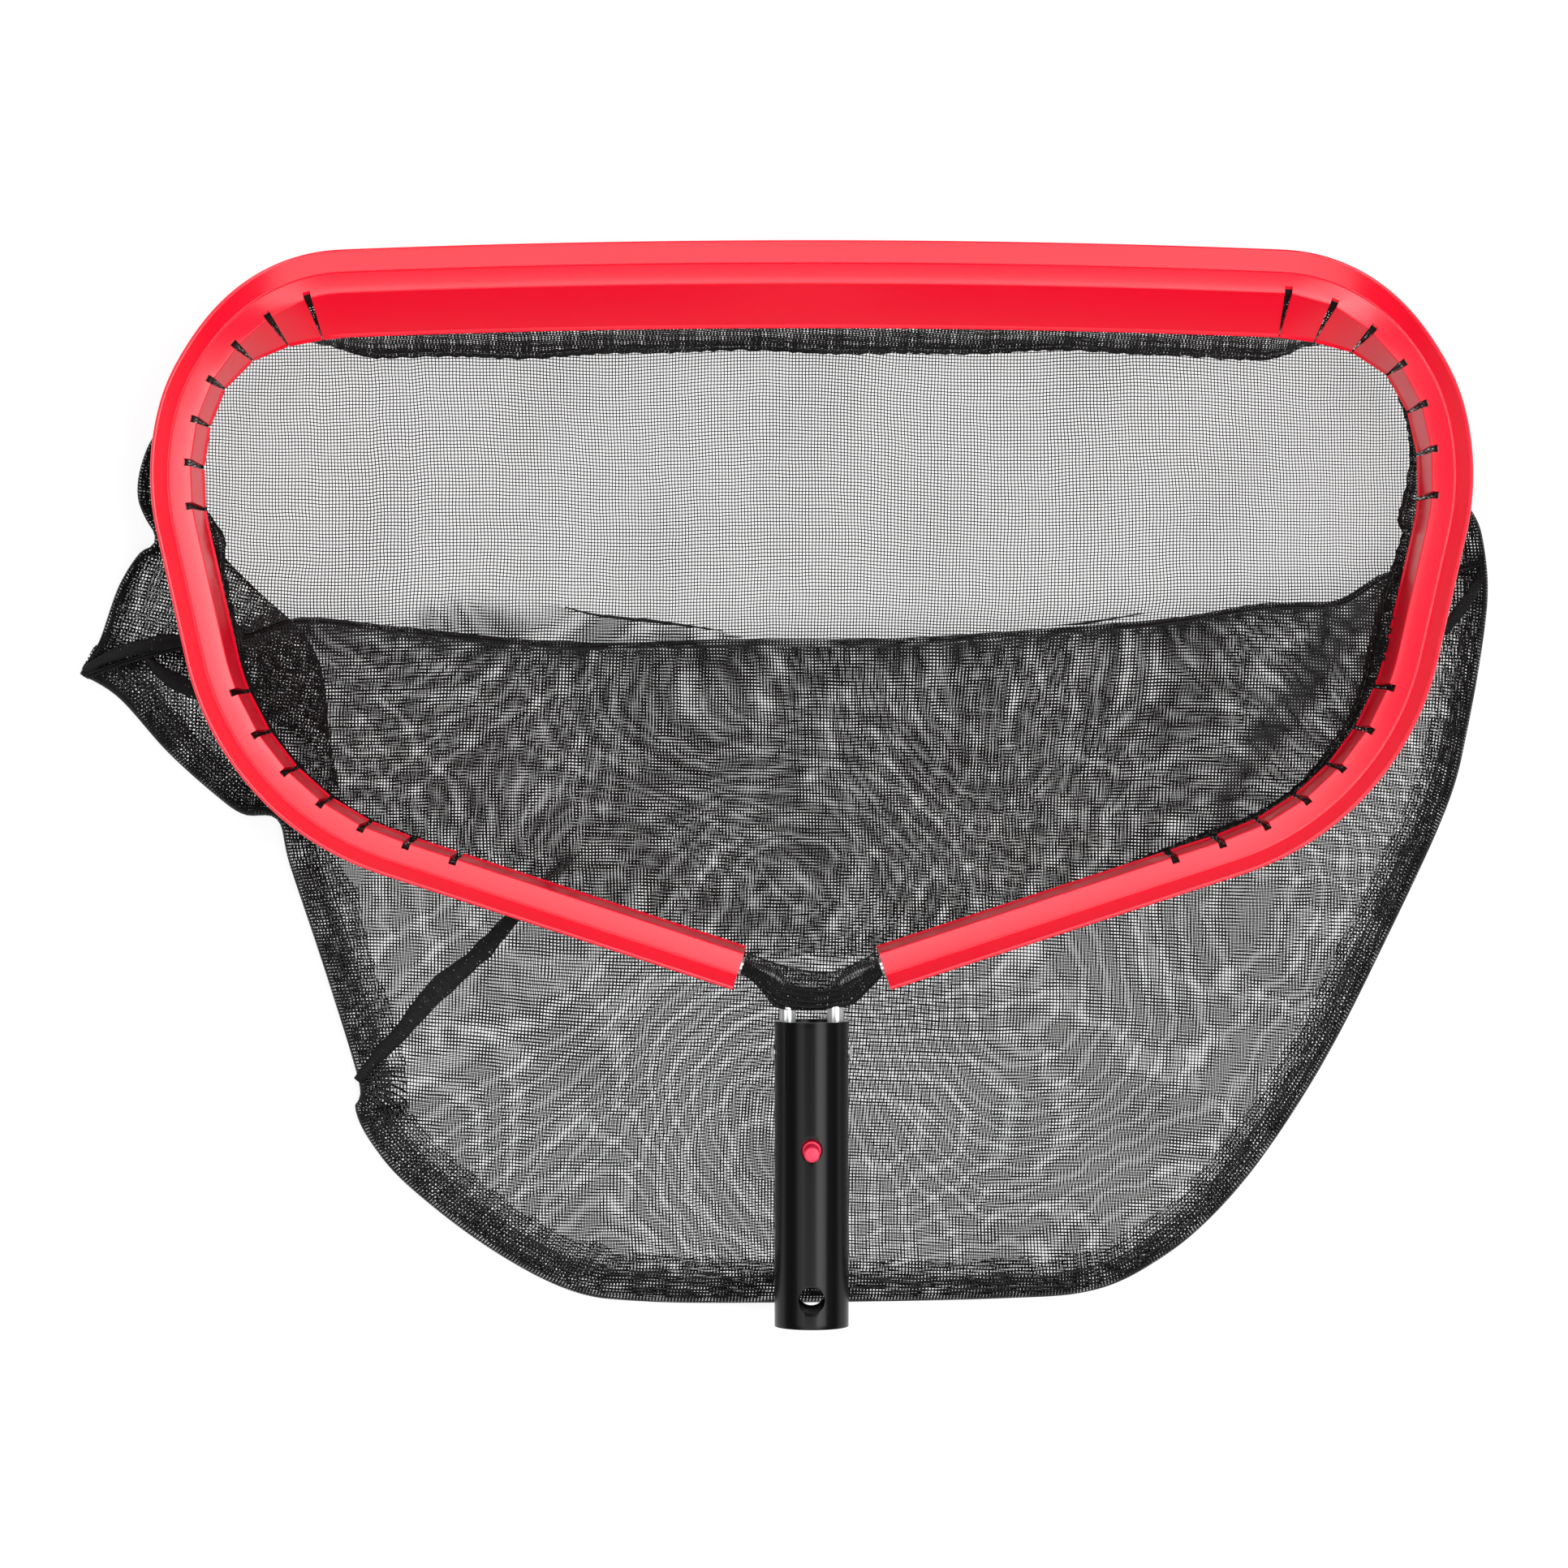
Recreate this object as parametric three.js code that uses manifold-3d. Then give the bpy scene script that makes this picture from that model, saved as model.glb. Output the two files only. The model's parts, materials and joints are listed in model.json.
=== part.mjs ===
// Pool leaf skimmer net lying flat, mouth up. A bent aluminium rod is the frame. A red edging is
// clipped on it, the hem of a two-panel mesh bag hangs from it, and its two ends are riveted inside
// a tube handle that holds a spring clip with two buttons. Millimetres, +Z up, +Y away from the
// handle. The bag lies on z = 0.
import * as THREE from "three";
import { mergeVertices } from "three/addons/utils/BufferGeometryUtils.js";
import Module from "manifold-3d";

const wasm = await Module();
wasm.setup();

const DEG = Math.PI / 180;
const MERGE_TOLERANCE = 1e-4;
const GAP = 0.3;

// Frame: the height of its plane, and the centreline of the right half from the middle of the top
// bar to the end in the handle. Each piece is a length and a clockwise turn in degrees.
const ROD_Z = 33;
const ROD_RADIUS = 3.175;
const TOP_Y = 194.15;
const TOP_BAR = { length: 179.4, turn: 2.26 };
const UPPER_CORNER = { length: 85.1, turn: 74.1 };
const SHOULDER = { length: 43, turn: 26.4 };
const SIDE = { length: 49.7, turn: 0 };
const LOWER_CORNER = { length: 106.1, turn: 59.06 };
const ARM = { length: 141.4, turn: 0 };
const THROAT = { length: 10.6, turn: 0 };
const HANDLE_BEND = { length: 15, turn: -71.82 };
const HANDLE_LEG = { length: 44, turn: 0 };
const EDGED_PIECES = [TOP_BAR, UPPER_CORNER, SHOULDER, SIDE, LOWER_CORNER, ARM];
const ROD_PIECES = [...EDGED_PIECES, THROAT, HANDLE_BEND, HANDLE_LEG];
const EDGED_LENGTH = EDGED_PIECES.reduce((sum, piece) => sum + piece.length, 0);
const STEP_TURN = 6.5;
const ROD_SIDES = 10;

// Edging: on the top bar the whole section is rolled about the rod, and the roll fades out in the
// upper corners.
const TOP_ROLL = 33 * DEG;
const ROLL_FADE_START = 184;
const ROLL_FADE_END = 246;
const SKIRT_FOOT = new THREE.Vector2(-6.5, -21.2);

// Slits through the edging's skirt, so that it can be bent round the corners: the place of the first
// slit of each corner and the distance to the next, negative on the left half.
const UPPER_RIGHT_SLITS = { first: 183, pitch: 18.6 };
const UPPER_LEFT_SLITS = { first: -194, pitch: -17.5 };
const LOWER_RIGHT_SLITS = { first: 371.5, pitch: 19 };
const LOWER_LEFT_SLITS = { first: -373.5, pitch: -19 };
const SLIT_RUNS = [UPPER_RIGHT_SLITS, UPPER_LEFT_SLITS, LOWER_RIGHT_SLITS, LOWER_LEFT_SLITS];
const SLITS_PER_CORNER = 7;
const FINGER_LENGTH = 18.6;
const SLIT_WIDTH = 2.9;
const SLIT_LEAST_WIDTH = 0.7;
const SLIT_ROOT_U = -2.4;
const SLIT_INNER_U = -12;
const SLIT_TOP_W = 9;
const SLIT_BOTTOM_W = -24;

// Hem of the bag, which hangs from the rod between the edging's walls.
const HEM_THICKNESS = 1;
const HEM_U = -2.7;
const HEM_TOP_W = -4.2;
const HEM_BOTTOM_Z = 10.8;

// Bag: the front panel lies on the ground and turns up to the hem along the top bar. The back panel
// runs in from the arms, folds back on itself and joins the front panel round a wide seam.
const NET_THICKNESS = 1.2;
const RIM_TOP_Z = 10.4;
const RIM_LENGTH = 308;
const BACK_LOWER_Z = 7.2;
const BACK_UPPER_Z = 9.2;
const BACK_THICKNESS = 1;
const FOLD_Y = 61;
const FOLD_HALF_WIDTH = 228;
const FLANK = [
  [246, 88],
  [264, 78],
  [272, 48],
  [256, 8],
  [226, -52],
  [194, -120],
  [146, -178],
  [84, -199],
  [0, -204],
];
const FLANK_STEPS = 44;
const BACK_INSET = 4;
const SEAM_INSET = 4.5;
const SEAM_WIDTH = 19;

// Handle tube along Y, centred on the frame's plane.
const TUBE_RADIUS = 14.25;
const TUBE_WALL = 1.6;
const TUBE_MOUTH_Y = -91;
const TUBE_END_Y = -208.2;
const TUBE_SIDES = 40;
const HOLE_SIDES = 16;
const BUTTON_HOLE_Y = -139.5;
const BUTTON_HOLE_RADIUS = 4.15;
const PIN_HOLE_Y = -197;
const PIN_HOLE_RADIUS = 5.05;

// Blind rivets that hold the rod's ends in the tube.
const RIVET_Y = -103;
const RIVET_HOLE_RADIUS = 1.9;
const RIVET_SHANK_RADIUS = 1.6;
const RIVET_BORE_RADIUS = 1.15;
const RIVET_HEAD_RADIUS = 2.9;
const RIVET_HEAD_HEIGHT = 1.3;
const RIVET_CROWN_RADIUS = 2.4;
const RIVET_CROWN_HEIGHT = 0.35;
const RIVET_MOUTH_RADIUS = 1.8;
const RIVET_SHANK_LENGTH = 9.2;
const RIVET_STEM_RADIUS = 0.8;
const RIVET_BULB_LENGTH = 0.9;
const RIVET_BULB_POINT = 0.3;
const RIVET_SIDES = 12;

// Spring clip: a bend with two legs that spread to the tube's holes, and a button on each leg. A
// leg turns about the end of the bend.
const CLIP_WIDTH = 9;
const CLIP_THICKNESS = 0.8;
const BEND_RADIUS = 2.1;
const BEND_STEPS = 10;
const BUTTON_ALONG_LEG = 45;
const LEG_TIP = 7;
const LEG_SPREAD = 8.18 * DEG;
const CLIP_BEND_Y = -183.6;
const BUTTON_TOP = 12.88;
const BUTTON_FLANGE_RADIUS = 4.6;
const BUTTON_FLANGE_HEIGHT = 1.2;
const BUTTON_SHOULDER_RADIUS = 3.6;
const BUTTON_SHOULDER_TOP = 5.7;
const BUTTON_PIN_RADIUS = 3;
const BUTTON_CROWN_HEIGHT = 0.9;
const BUTTON_CROWN_RADIUS = 1.8;
const BUTTON_CROWN_RISE = 0.72;
const BUTTON_TAIL_RADIUS = 1.4;
const BUTTON_TAIL_LENGTH = 1.2;
const BUTTON_SIDES = 20;

const redPlastic = new THREE.MeshStandardMaterial({ color: 0xf02038, roughness: 0.35, metalness: 0 });
const buttonPlastic = new THREE.MeshStandardMaterial({ color: 0xf0345c, roughness: 0.4, metalness: 0 });
const bareAluminium = new THREE.MeshStandardMaterial({ color: 0xc9cbce, roughness: 0.3, metalness: 1 });
const blackAnodised = new THREE.MeshStandardMaterial({ color: 0x1c1c1e, roughness: 0.3, metalness: 0.8 });
const springSteel = new THREE.MeshStandardMaterial({ color: 0xb4b6b8, roughness: 0.3, metalness: 1 });
const blackMesh = new THREE.MeshStandardMaterial({ color: 0x1b1b1d, roughness: 0.9, metalness: 0 });
const blackTape = new THREE.MeshStandardMaterial({ color: 0x121214, roughness: 0.8, metalness: 0 });

const group = new THREE.Group();

function addMesh(parent, name, geometry, material) {
  const mesh = new THREE.Mesh(geometry, material);
  mesh.name = name;
  parent.add(mesh);
}

function solidOf(geometry) {
  const bare = geometry.clone();
  bare.deleteAttribute("normal");
  bare.deleteAttribute("uv");
  const merged = mergeVertices(bare, MERGE_TOLERANCE);
  const vertProperties = merged.attributes.position.array;
  const triVerts = new Uint32Array(merged.index.array);
  return new wasm.Manifold(new wasm.Mesh({ numProp: 3, vertProperties, triVerts }));
}

function geometryOf(solid) {
  const { vertProperties, triVerts } = solid.getMesh();
  const geometry = new THREE.BufferGeometry();
  geometry.setAttribute("position", new THREE.BufferAttribute(vertProperties, 3));
  geometry.setIndex(new THREE.BufferAttribute(triVerts, 1));
  geometry.computeVertexNormals();
  return geometry;
}

function join(...geometries) {
  const [first, ...others] = geometries.map(solidOf);
  return geometryOf(others.reduce((whole, part) => whole.add(part), first));
}

function cut(geometry, cutters) {
  return geometryOf(cutters.map(solidOf).reduce((rest, cutter) => rest.subtract(cutter), solidOf(geometry)));
}

// The place and heading after an arc that turns clockwise, or after a straight run.
function stepAlong({ x, y, heading }, length, turn) {
  if (turn === 0) {
    return { x: x + length * Math.cos(heading), y: y + length * Math.sin(heading), heading };
  }
  const radius = length / turn;
  const after = heading - turn;
  return {
    x: x + radius * (Math.sin(heading) - Math.sin(after)),
    y: y - radius * (Math.cos(heading) - Math.cos(after)),
    heading: after,
  };
}

// The centreline at a distance from the middle of the top bar, positive to the right.
function poseAt(s) {
  let pose = { x: 0, y: TOP_Y, heading: 0 };
  let left = Math.abs(s);
  for (const { length, turn } of ROD_PIECES) {
    const run = Math.min(left, length);
    pose = stepAlong(pose, run, (turn * DEG * run) / length);
    left -= run;
  }
  return s < 0 ? { x: -pose.x, y: pose.y, heading: -pose.heading } : pose;
}

function curvatureAt(s) {
  let left = Math.abs(s);
  for (const { length, turn } of ROD_PIECES) {
    if (left <= length) return (turn * DEG) / length;
    left -= length;
  }
  return 0;
}

function rollAt(s) {
  return TOP_ROLL * (1 - THREE.MathUtils.smoothstep(Math.abs(s), ROLL_FADE_START, ROLL_FADE_END));
}

// A point of the section at s: u is outwards from the rod's axis, w is up and t is along the rod.
function sectionPoint(s, u, w, t = 0) {
  const { x, y, heading } = poseAt(s);
  const roll = rollAt(s);
  const out = u * Math.cos(roll) + w * Math.sin(roll);
  const up = w * Math.cos(roll) - u * Math.sin(roll);
  const [along, across] = [Math.cos(heading), Math.sin(heading)];
  return new THREE.Vector3(x - across * out + along * t, y + along * out + across * t, ROD_Z + up);
}

// Distances along the right half where the sweep has a section, closer on the bends.
function stationsOf(pieces) {
  const stations = [0];
  let start = 0;
  for (const { length, turn } of pieces) {
    const steps = Math.max(1, Math.ceil(Math.abs(turn) / STEP_TURN));
    for (let i = 1; i <= steps; i += 1) stations.push(start + (length * i) / steps);
    start += length;
  }
  return stations;
}

function bothSides(stations) {
  return [...stations.slice(1).reverse().map((s) => -s), ...stations];
}

// Extrudes a section and bends it along the stations. place gives the point for s, u and w.
function sweep(shape, stations, place = sectionPoint) {
  const steps = stations.length - 1;
  const geometry = new THREE.ExtrudeGeometry(shape, { depth: 1, steps, bevelEnabled: false });
  const position = geometry.attributes.position;
  for (let i = 0; i < position.count; i += 1) {
    const s = stations[Math.round(position.getZ(i) * steps)];
    const point = place(s, position.getX(i), position.getY(i));
    position.setXYZ(i, point.x, point.y, point.z);
  }
  return geometry;
}

function shapeOf(points) {
  return new THREE.Shape(points.map(([x, y]) => new THREE.Vector2(x, y)));
}

function plate(points, low, thickness) {
  const geometry = new THREE.ExtrudeGeometry(shapeOf(points), { depth: thickness, bevelEnabled: false });
  return geometry.translate(0, 0, low);
}

function box(low, high) {
  const size = high.map((value, i) => value - low[i]);
  const middle = high.map((value, i) => (value + low[i]) / 2);
  return new THREE.BoxGeometry(...size).translate(...middle);
}

function frameRod() {
  const circle = new THREE.EllipseCurve(0, 0, ROD_RADIUS, ROD_RADIUS);
  const shape = new THREE.Shape(circle.getPoints(ROD_SIDES).slice(0, -1));
  const holes = [-1, 1].map((side) => {
    const reach = 2 * TUBE_RADIUS;
    const drill = new THREE.CylinderGeometry(RIVET_HOLE_RADIUS, RIVET_HOLE_RADIUS, reach, RIVET_SIDES);
    return drill.rotateZ(90 * DEG).translate(side * TUBE_RADIUS, RIVET_Y, ROD_Z);
  });
  return cut(sweep(shape, bothSides(stationsOf(ROD_PIECES))), holes);
}

// The section's outline: the skirt's foot bead, the channel round the rod with a barb on its outer
// wall, the raised lip, and the sloping crown.
function edgingShape() {
  const { x: footU, y: footW } = SKIRT_FOOT;
  return shapeOf([
    [footU - 0.8, footW],
    [footU, footW - 0.7],
    [footU + 1.7, footW],
    [footU + 1.6, footW + 1.6],
    [-3.6, 1.8],
    [-2.6, 2.9],
    [2.4, 4.3],
    [3.6, 3],
    [3.6, -2.2],
    [2.3, -3.6],
    [2.5, -4.9],
    [4.4, -5.5],
    [5.2, -4.6],
    [5.2, 4.6],
    [9.3, 11.7],
    [8.8, 12.6],
    [7.8, 12.3],
    [3.5, 5.5],
    [2.8, 5.9],
    [-5.2, 3.6],
    [footU, footW + 1.4],
  ]);
}

// The slit closes towards the skirt's foot where the bend brings the fingers together.
function slitCutter(s) {
  const roll = rollAt(s);
  const inset = -(SKIRT_FOOT.x * Math.cos(roll) + SKIRT_FOOT.y * Math.sin(roll));
  const closing = FINGER_LENGTH * curvatureAt(s) * inset;
  const footWidth = Math.max(SLIT_LEAST_WIDTH, SLIT_WIDTH - closing);
  const geometry = new THREE.BoxGeometry(1, 1, 1);
  const position = geometry.attributes.position;
  for (let i = 0; i < position.count; i += 1) {
    const atTop = position.getY(i) > 0;
    const u = position.getX(i) > 0 ? SLIT_ROOT_U : SLIT_INNER_U;
    const w = atTop ? SLIT_TOP_W : SLIT_BOTTOM_W;
    const point = sectionPoint(s, u, w, position.getZ(i) * (atTop ? SLIT_WIDTH : footWidth));
    position.setXYZ(i, point.x, point.y, point.z);
  }
  return geometry;
}

function edging() {
  const cutters = [];
  for (const { first, pitch } of SLIT_RUNS) {
    for (let i = 0; i < SLITS_PER_CORNER; i += 1) cutters.push(slitCutter(first + i * pitch));
  }
  return cut(sweep(edgingShape(), bothSides(stationsOf(EDGED_PIECES))), cutters);
}

// How far down its own section the hem reaches to end at one height all round.
function hemFootW(s) {
  return -(ROD_Z - HEM_BOTTOM_Z) / Math.cos(rollAt(s));
}

function mouthHem() {
  const half = HEM_THICKNESS / 2;
  const shape = shapeOf([
    [HEM_U - half, -1],
    [HEM_U + half, -1],
    [HEM_U + half, 0],
    [HEM_U - half, 0],
  ]);
  const place = (s, u, w) => sectionPoint(s, u, w < 0 ? hemFootW(s) : HEM_TOP_W);
  const ring = sweep(shape, bothSides(stationsOf(EDGED_PIECES)), place);
  const end = sectionPoint(EDGED_LENGTH, HEM_U, 0);
  const bridge = box(
    [-end.x - half, end.y - half, HEM_BOTTOM_Z],
    [end.x + half, end.y + half, ROD_Z + HEM_TOP_W],
  );
  return join(ring, bridge);
}

// Where the hem's foot stands in plan.
function hemFoot(s, outwards = 0) {
  const foot = sectionPoint(s, HEM_U, hemFootW(s));
  const { heading } = poseAt(s);
  return [foot.x - Math.sin(heading) * outwards, foot.y + Math.cos(heading) * outwards];
}

// The bag's outline from one side round its closed end to the other, moved inwards by inset.
function flank(inset) {
  const right = FLANK.map(([x, y]) => new THREE.Vector2(x, y));
  const left = FLANK.slice(0, -1).reverse().map(([x, y]) => new THREE.Vector2(-x, y));
  const curve = new THREE.SplineCurve([...right, ...left]);
  const points = [];
  for (let i = 0; i <= FLANK_STEPS; i += 1) {
    const point = curve.getPoint(i / FLANK_STEPS);
    const tangent = curve.getTangent(i / FLANK_STEPS);
    points.push([point.x + tangent.y * inset, point.y - tangent.x * inset]);
  }
  return points;
}

function rimStations() {
  const inside = stationsOf(EDGED_PIECES).filter((s) => s < RIM_LENGTH);
  return bothSides([...inside, RIM_LENGTH]);
}

function netFrontPanel() {
  const half = NET_THICKNESS / 2;
  const wall = shapeOf([
    [-half, 0],
    [half, 0],
    [half, RIM_TOP_Z],
    [-half, RIM_TOP_Z],
  ]);
  const rim = sweep(wall, rimStations(), (s, u, w) => new THREE.Vector3(...hemFoot(s, u), w));
  const top = rimStations().map((s) => hemFoot(s, half));
  return join(plate([...top, ...flank(0)], 0, NET_THICKNESS), rim);
}

function netBackPanel() {
  const lowerRun = flank(BACK_INSET).filter(([, y]) => y < FOLD_Y);
  const lowerPlate = plate(lowerRun, BACK_LOWER_Z, BACK_THICKNESS);
  const stations = stationsOf(EDGED_PIECES).filter((s) => hemFoot(s)[1] < FOLD_Y);
  const right = stations.map((s) => hemFoot(s));
  const left = stations.map((s) => hemFoot(-s)).reverse();
  const foldLine = [
    [-FOLD_HALF_WIDTH, FOLD_Y],
    [FOLD_HALF_WIDTH, FOLD_Y],
  ];
  const upperPlate = plate([...foldLine, ...right, ...left], BACK_UPPER_Z, BACK_THICKNESS);
  const lowerEdge = Math.max(...lowerRun.map(([, y]) => y));
  const fold = box(
    [-FOLD_HALF_WIDTH, lowerEdge - 2 * BACK_THICKNESS, BACK_LOWER_Z],
    [FOLD_HALF_WIDTH, FOLD_Y, BACK_UPPER_Z + BACK_THICKNESS],
  );
  return join(lowerPlate, upperPlate, fold);
}

function seamBinding() {
  const low = NET_THICKNESS + GAP;
  const outer = flank(SEAM_INSET);
  const inner = flank(SEAM_INSET + SEAM_WIDTH).reverse();
  return plate([...outer, ...inner], low, BACK_LOWER_Z - GAP - low);
}

// A cylinder for cutting through the tube's wall across Z or X.
function drill(radius, y, turnAbout) {
  const cylinder = new THREE.CylinderGeometry(radius, radius, 4 * TUBE_RADIUS, HOLE_SIDES);
  const turned = turnAbout === "z" ? cylinder.rotateZ(90 * DEG) : cylinder.rotateX(90 * DEG);
  return turned.translate(0, y, ROD_Z);
}

function lathe(profile, sides) {
  return new THREE.LatheGeometry(profile.map(([r, y]) => new THREE.Vector2(r, y)), sides);
}

function handleTube() {
  const bore = TUBE_RADIUS - TUBE_WALL;
  const profile = [
    [bore, TUBE_END_Y],
    [TUBE_RADIUS, TUBE_END_Y],
    [TUBE_RADIUS, TUBE_MOUTH_Y],
    [bore, TUBE_MOUTH_Y],
    [bore, TUBE_END_Y],
  ];
  return cut(lathe(profile, TUBE_SIDES).translate(0, 0, ROD_Z), [
    drill(RIVET_HOLE_RADIUS, RIVET_Y, "z"),
    drill(BUTTON_HOLE_RADIUS, BUTTON_HOLE_Y, "x"),
    drill(PIN_HOLE_RADIUS, PIN_HOLE_Y, "x"),
  ]);
}

// A rivet stands on its Y axis with the head up, and its origin is on the tube's outer surface.
function rivetBody() {
  const headFoot = GAP;
  const headTop = headFoot + RIVET_HEAD_HEIGHT;
  return lathe([
    [RIVET_BORE_RADIUS, -RIVET_SHANK_LENGTH],
    [RIVET_SHANK_RADIUS, -RIVET_SHANK_LENGTH],
    [RIVET_SHANK_RADIUS, headFoot],
    [RIVET_HEAD_RADIUS, headFoot],
    [RIVET_CROWN_RADIUS, headTop - RIVET_CROWN_HEIGHT],
    [RIVET_MOUTH_RADIUS, headTop],
    [RIVET_BORE_RADIUS, headTop],
    [RIVET_BORE_RADIUS, -RIVET_SHANK_LENGTH],
  ], RIVET_SIDES);
}

// The stem that stays in the rivet: a rod with a wider bulb below the shank.
function rivetStem() {
  const top = RIVET_HEAD_HEIGHT - GAP;
  const bulbTop = -RIVET_SHANK_LENGTH - GAP;
  const bulbFoot = bulbTop - RIVET_BULB_LENGTH;
  return lathe([
    [0, bulbFoot - RIVET_BULB_POINT],
    [RIVET_SHANK_RADIUS, bulbFoot],
    [RIVET_SHANK_RADIUS, bulbTop],
    [RIVET_STEM_RADIUS, bulbTop],
    [RIVET_STEM_RADIUS, top],
    [0, top],
  ], RIVET_SIDES);
}

function addRivet(name, side) {
  const place = new THREE.Group();
  place.position.set(side * TUBE_RADIUS, RIVET_Y, ROD_Z);
  place.rotation.z = -side * 90 * DEG;
  addMesh(place, name, rivetBody(), bareAluminium);
  addMesh(place, name + "_stem", rivetStem(), springSteel);
  group.add(place);
}

// The bend between the clip's legs: a half ring, open towards the frame.
function clipBend() {
  const outer = [];
  const inner = [];
  for (let i = 0; i <= BEND_STEPS; i += 1) {
    const angle = (90 + (180 * i) / BEND_STEPS) * DEG;
    const [along, up] = [Math.cos(angle), Math.sin(angle)];
    outer.push([(BEND_RADIUS + CLIP_THICKNESS / 2) * along, (BEND_RADIUS + CLIP_THICKNESS / 2) * up]);
    inner.unshift([(BEND_RADIUS - CLIP_THICKNESS / 2) * along, (BEND_RADIUS - CLIP_THICKNESS / 2) * up]);
  }
  const shape = shapeOf([...outer, ...inner]);
  const strip = new THREE.ExtrudeGeometry(shape, { depth: CLIP_WIDTH, bevelEnabled: false });
  strip.translate(0, 0, -CLIP_WIDTH / 2).rotateY(90 * DEG).rotateX(90 * DEG);
  return strip.translate(0, CLIP_BEND_Y, ROD_Z);
}

function clipLeg() {
  const half = CLIP_THICKNESS / 2;
  const strip = box(
    [-CLIP_WIDTH / 2, GAP, -half],
    [CLIP_WIDTH / 2, BUTTON_ALONG_LEG + LEG_TIP, half],
  );
  const radius = BUTTON_TAIL_RADIUS + GAP;
  const hole = new THREE.CylinderGeometry(radius, radius, 4 * CLIP_THICKNESS, HOLE_SIDES);
  return cut(strip, [hole.rotateX(90 * DEG).translate(0, BUTTON_ALONG_LEG, 0)]);
}

function clipButton() {
  const foot = CLIP_THICKNESS / 2 + GAP;
  const flangeTop = foot + BUTTON_FLANGE_HEIGHT;
  const tail = foot - CLIP_THICKNESS - GAP - BUTTON_TAIL_LENGTH;
  const crown = BUTTON_TOP - BUTTON_CROWN_HEIGHT;
  const profile = [
    [0, tail],
    [BUTTON_TAIL_RADIUS, tail],
    [BUTTON_TAIL_RADIUS, foot],
    [BUTTON_FLANGE_RADIUS, foot],
    [BUTTON_FLANGE_RADIUS, flangeTop],
    [BUTTON_SHOULDER_RADIUS, flangeTop],
    [BUTTON_SHOULDER_RADIUS, BUTTON_SHOULDER_TOP],
    [BUTTON_PIN_RADIUS, BUTTON_SHOULDER_TOP],
    [BUTTON_PIN_RADIUS, crown],
    [BUTTON_CROWN_RADIUS, crown + BUTTON_CROWN_RISE],
    [0, BUTTON_TOP],
  ];
  return lathe(profile, BUTTON_SIDES).rotateX(90 * DEG).translate(0, BUTTON_ALONG_LEG, 0);
}

// A leg and its button, turned up to meet the hole in the tube's front or back.
function addClipLeg(side, name) {
  const half = new THREE.Group();
  half.position.set(0, CLIP_BEND_Y, ROD_Z);
  half.rotation.y = side > 0 ? 0 : 180 * DEG;
  const leg = new THREE.Group();
  leg.position.z = BEND_RADIUS;
  leg.rotation.x = LEG_SPREAD;
  addMesh(leg, name + "_clip_leg", clipLeg(), springSteel);
  addMesh(leg, name + "_button", clipButton(), buttonPlastic);
  half.add(leg);
  group.add(half);
}

addMesh(group, "frame_rod", frameRod(), bareAluminium);
addMesh(group, "edging", edging(), redPlastic);
addMesh(group, "mouth_hem", mouthHem(), blackTape);
addMesh(group, "net_front_panel", netFrontPanel(), blackMesh);
addMesh(group, "net_back_panel", netBackPanel(), blackMesh);
addMesh(group, "seam_binding", seamBinding(), blackTape);
addMesh(group, "handle_tube", handleTube(), blackAnodised);
addRivet("left_rivet", -1);
addRivet("right_rivet", 1);
addMesh(group, "clip_bend", clipBend(), springSteel);
addClipLeg(1, "front");
addClipLeg(-1, "rear");

export default group;
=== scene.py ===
"""Pool leaf skimmer net lying flat, seen from straight above.

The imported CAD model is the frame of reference. The red edging, the rod, the handle tube, the rivets
and the buttons are made again with fine surfaces, and the mesh bag is made as sheets of cloth. All
sizes in this script are millimetres, and add_mesh turns them into metres.
"""
import json
import math

import bmesh
import bpy
import numpy as np
from mathutils import Matrix, Vector
from mathutils.geometry import delaunay_2d_cdt, tessellate_polygon


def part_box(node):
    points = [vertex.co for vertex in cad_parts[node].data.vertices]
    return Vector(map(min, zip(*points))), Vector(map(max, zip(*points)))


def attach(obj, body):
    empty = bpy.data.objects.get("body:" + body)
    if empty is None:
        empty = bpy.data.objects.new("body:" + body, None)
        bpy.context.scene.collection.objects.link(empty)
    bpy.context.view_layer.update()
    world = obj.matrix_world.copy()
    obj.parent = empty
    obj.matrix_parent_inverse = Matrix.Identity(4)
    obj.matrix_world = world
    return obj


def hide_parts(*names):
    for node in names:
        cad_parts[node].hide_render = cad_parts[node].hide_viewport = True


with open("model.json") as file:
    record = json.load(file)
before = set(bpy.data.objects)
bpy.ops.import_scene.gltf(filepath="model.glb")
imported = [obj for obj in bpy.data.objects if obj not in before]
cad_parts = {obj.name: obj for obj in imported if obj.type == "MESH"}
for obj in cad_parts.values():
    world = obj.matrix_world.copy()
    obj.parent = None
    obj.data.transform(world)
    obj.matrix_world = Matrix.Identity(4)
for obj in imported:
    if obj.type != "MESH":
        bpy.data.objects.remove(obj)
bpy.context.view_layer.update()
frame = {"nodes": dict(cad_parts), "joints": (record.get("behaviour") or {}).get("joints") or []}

MM = 0.001


def box_mm(node):
    low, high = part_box(node)
    return low / MM, high / MM


# ---------------------------------------------------------------- sizes

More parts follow.
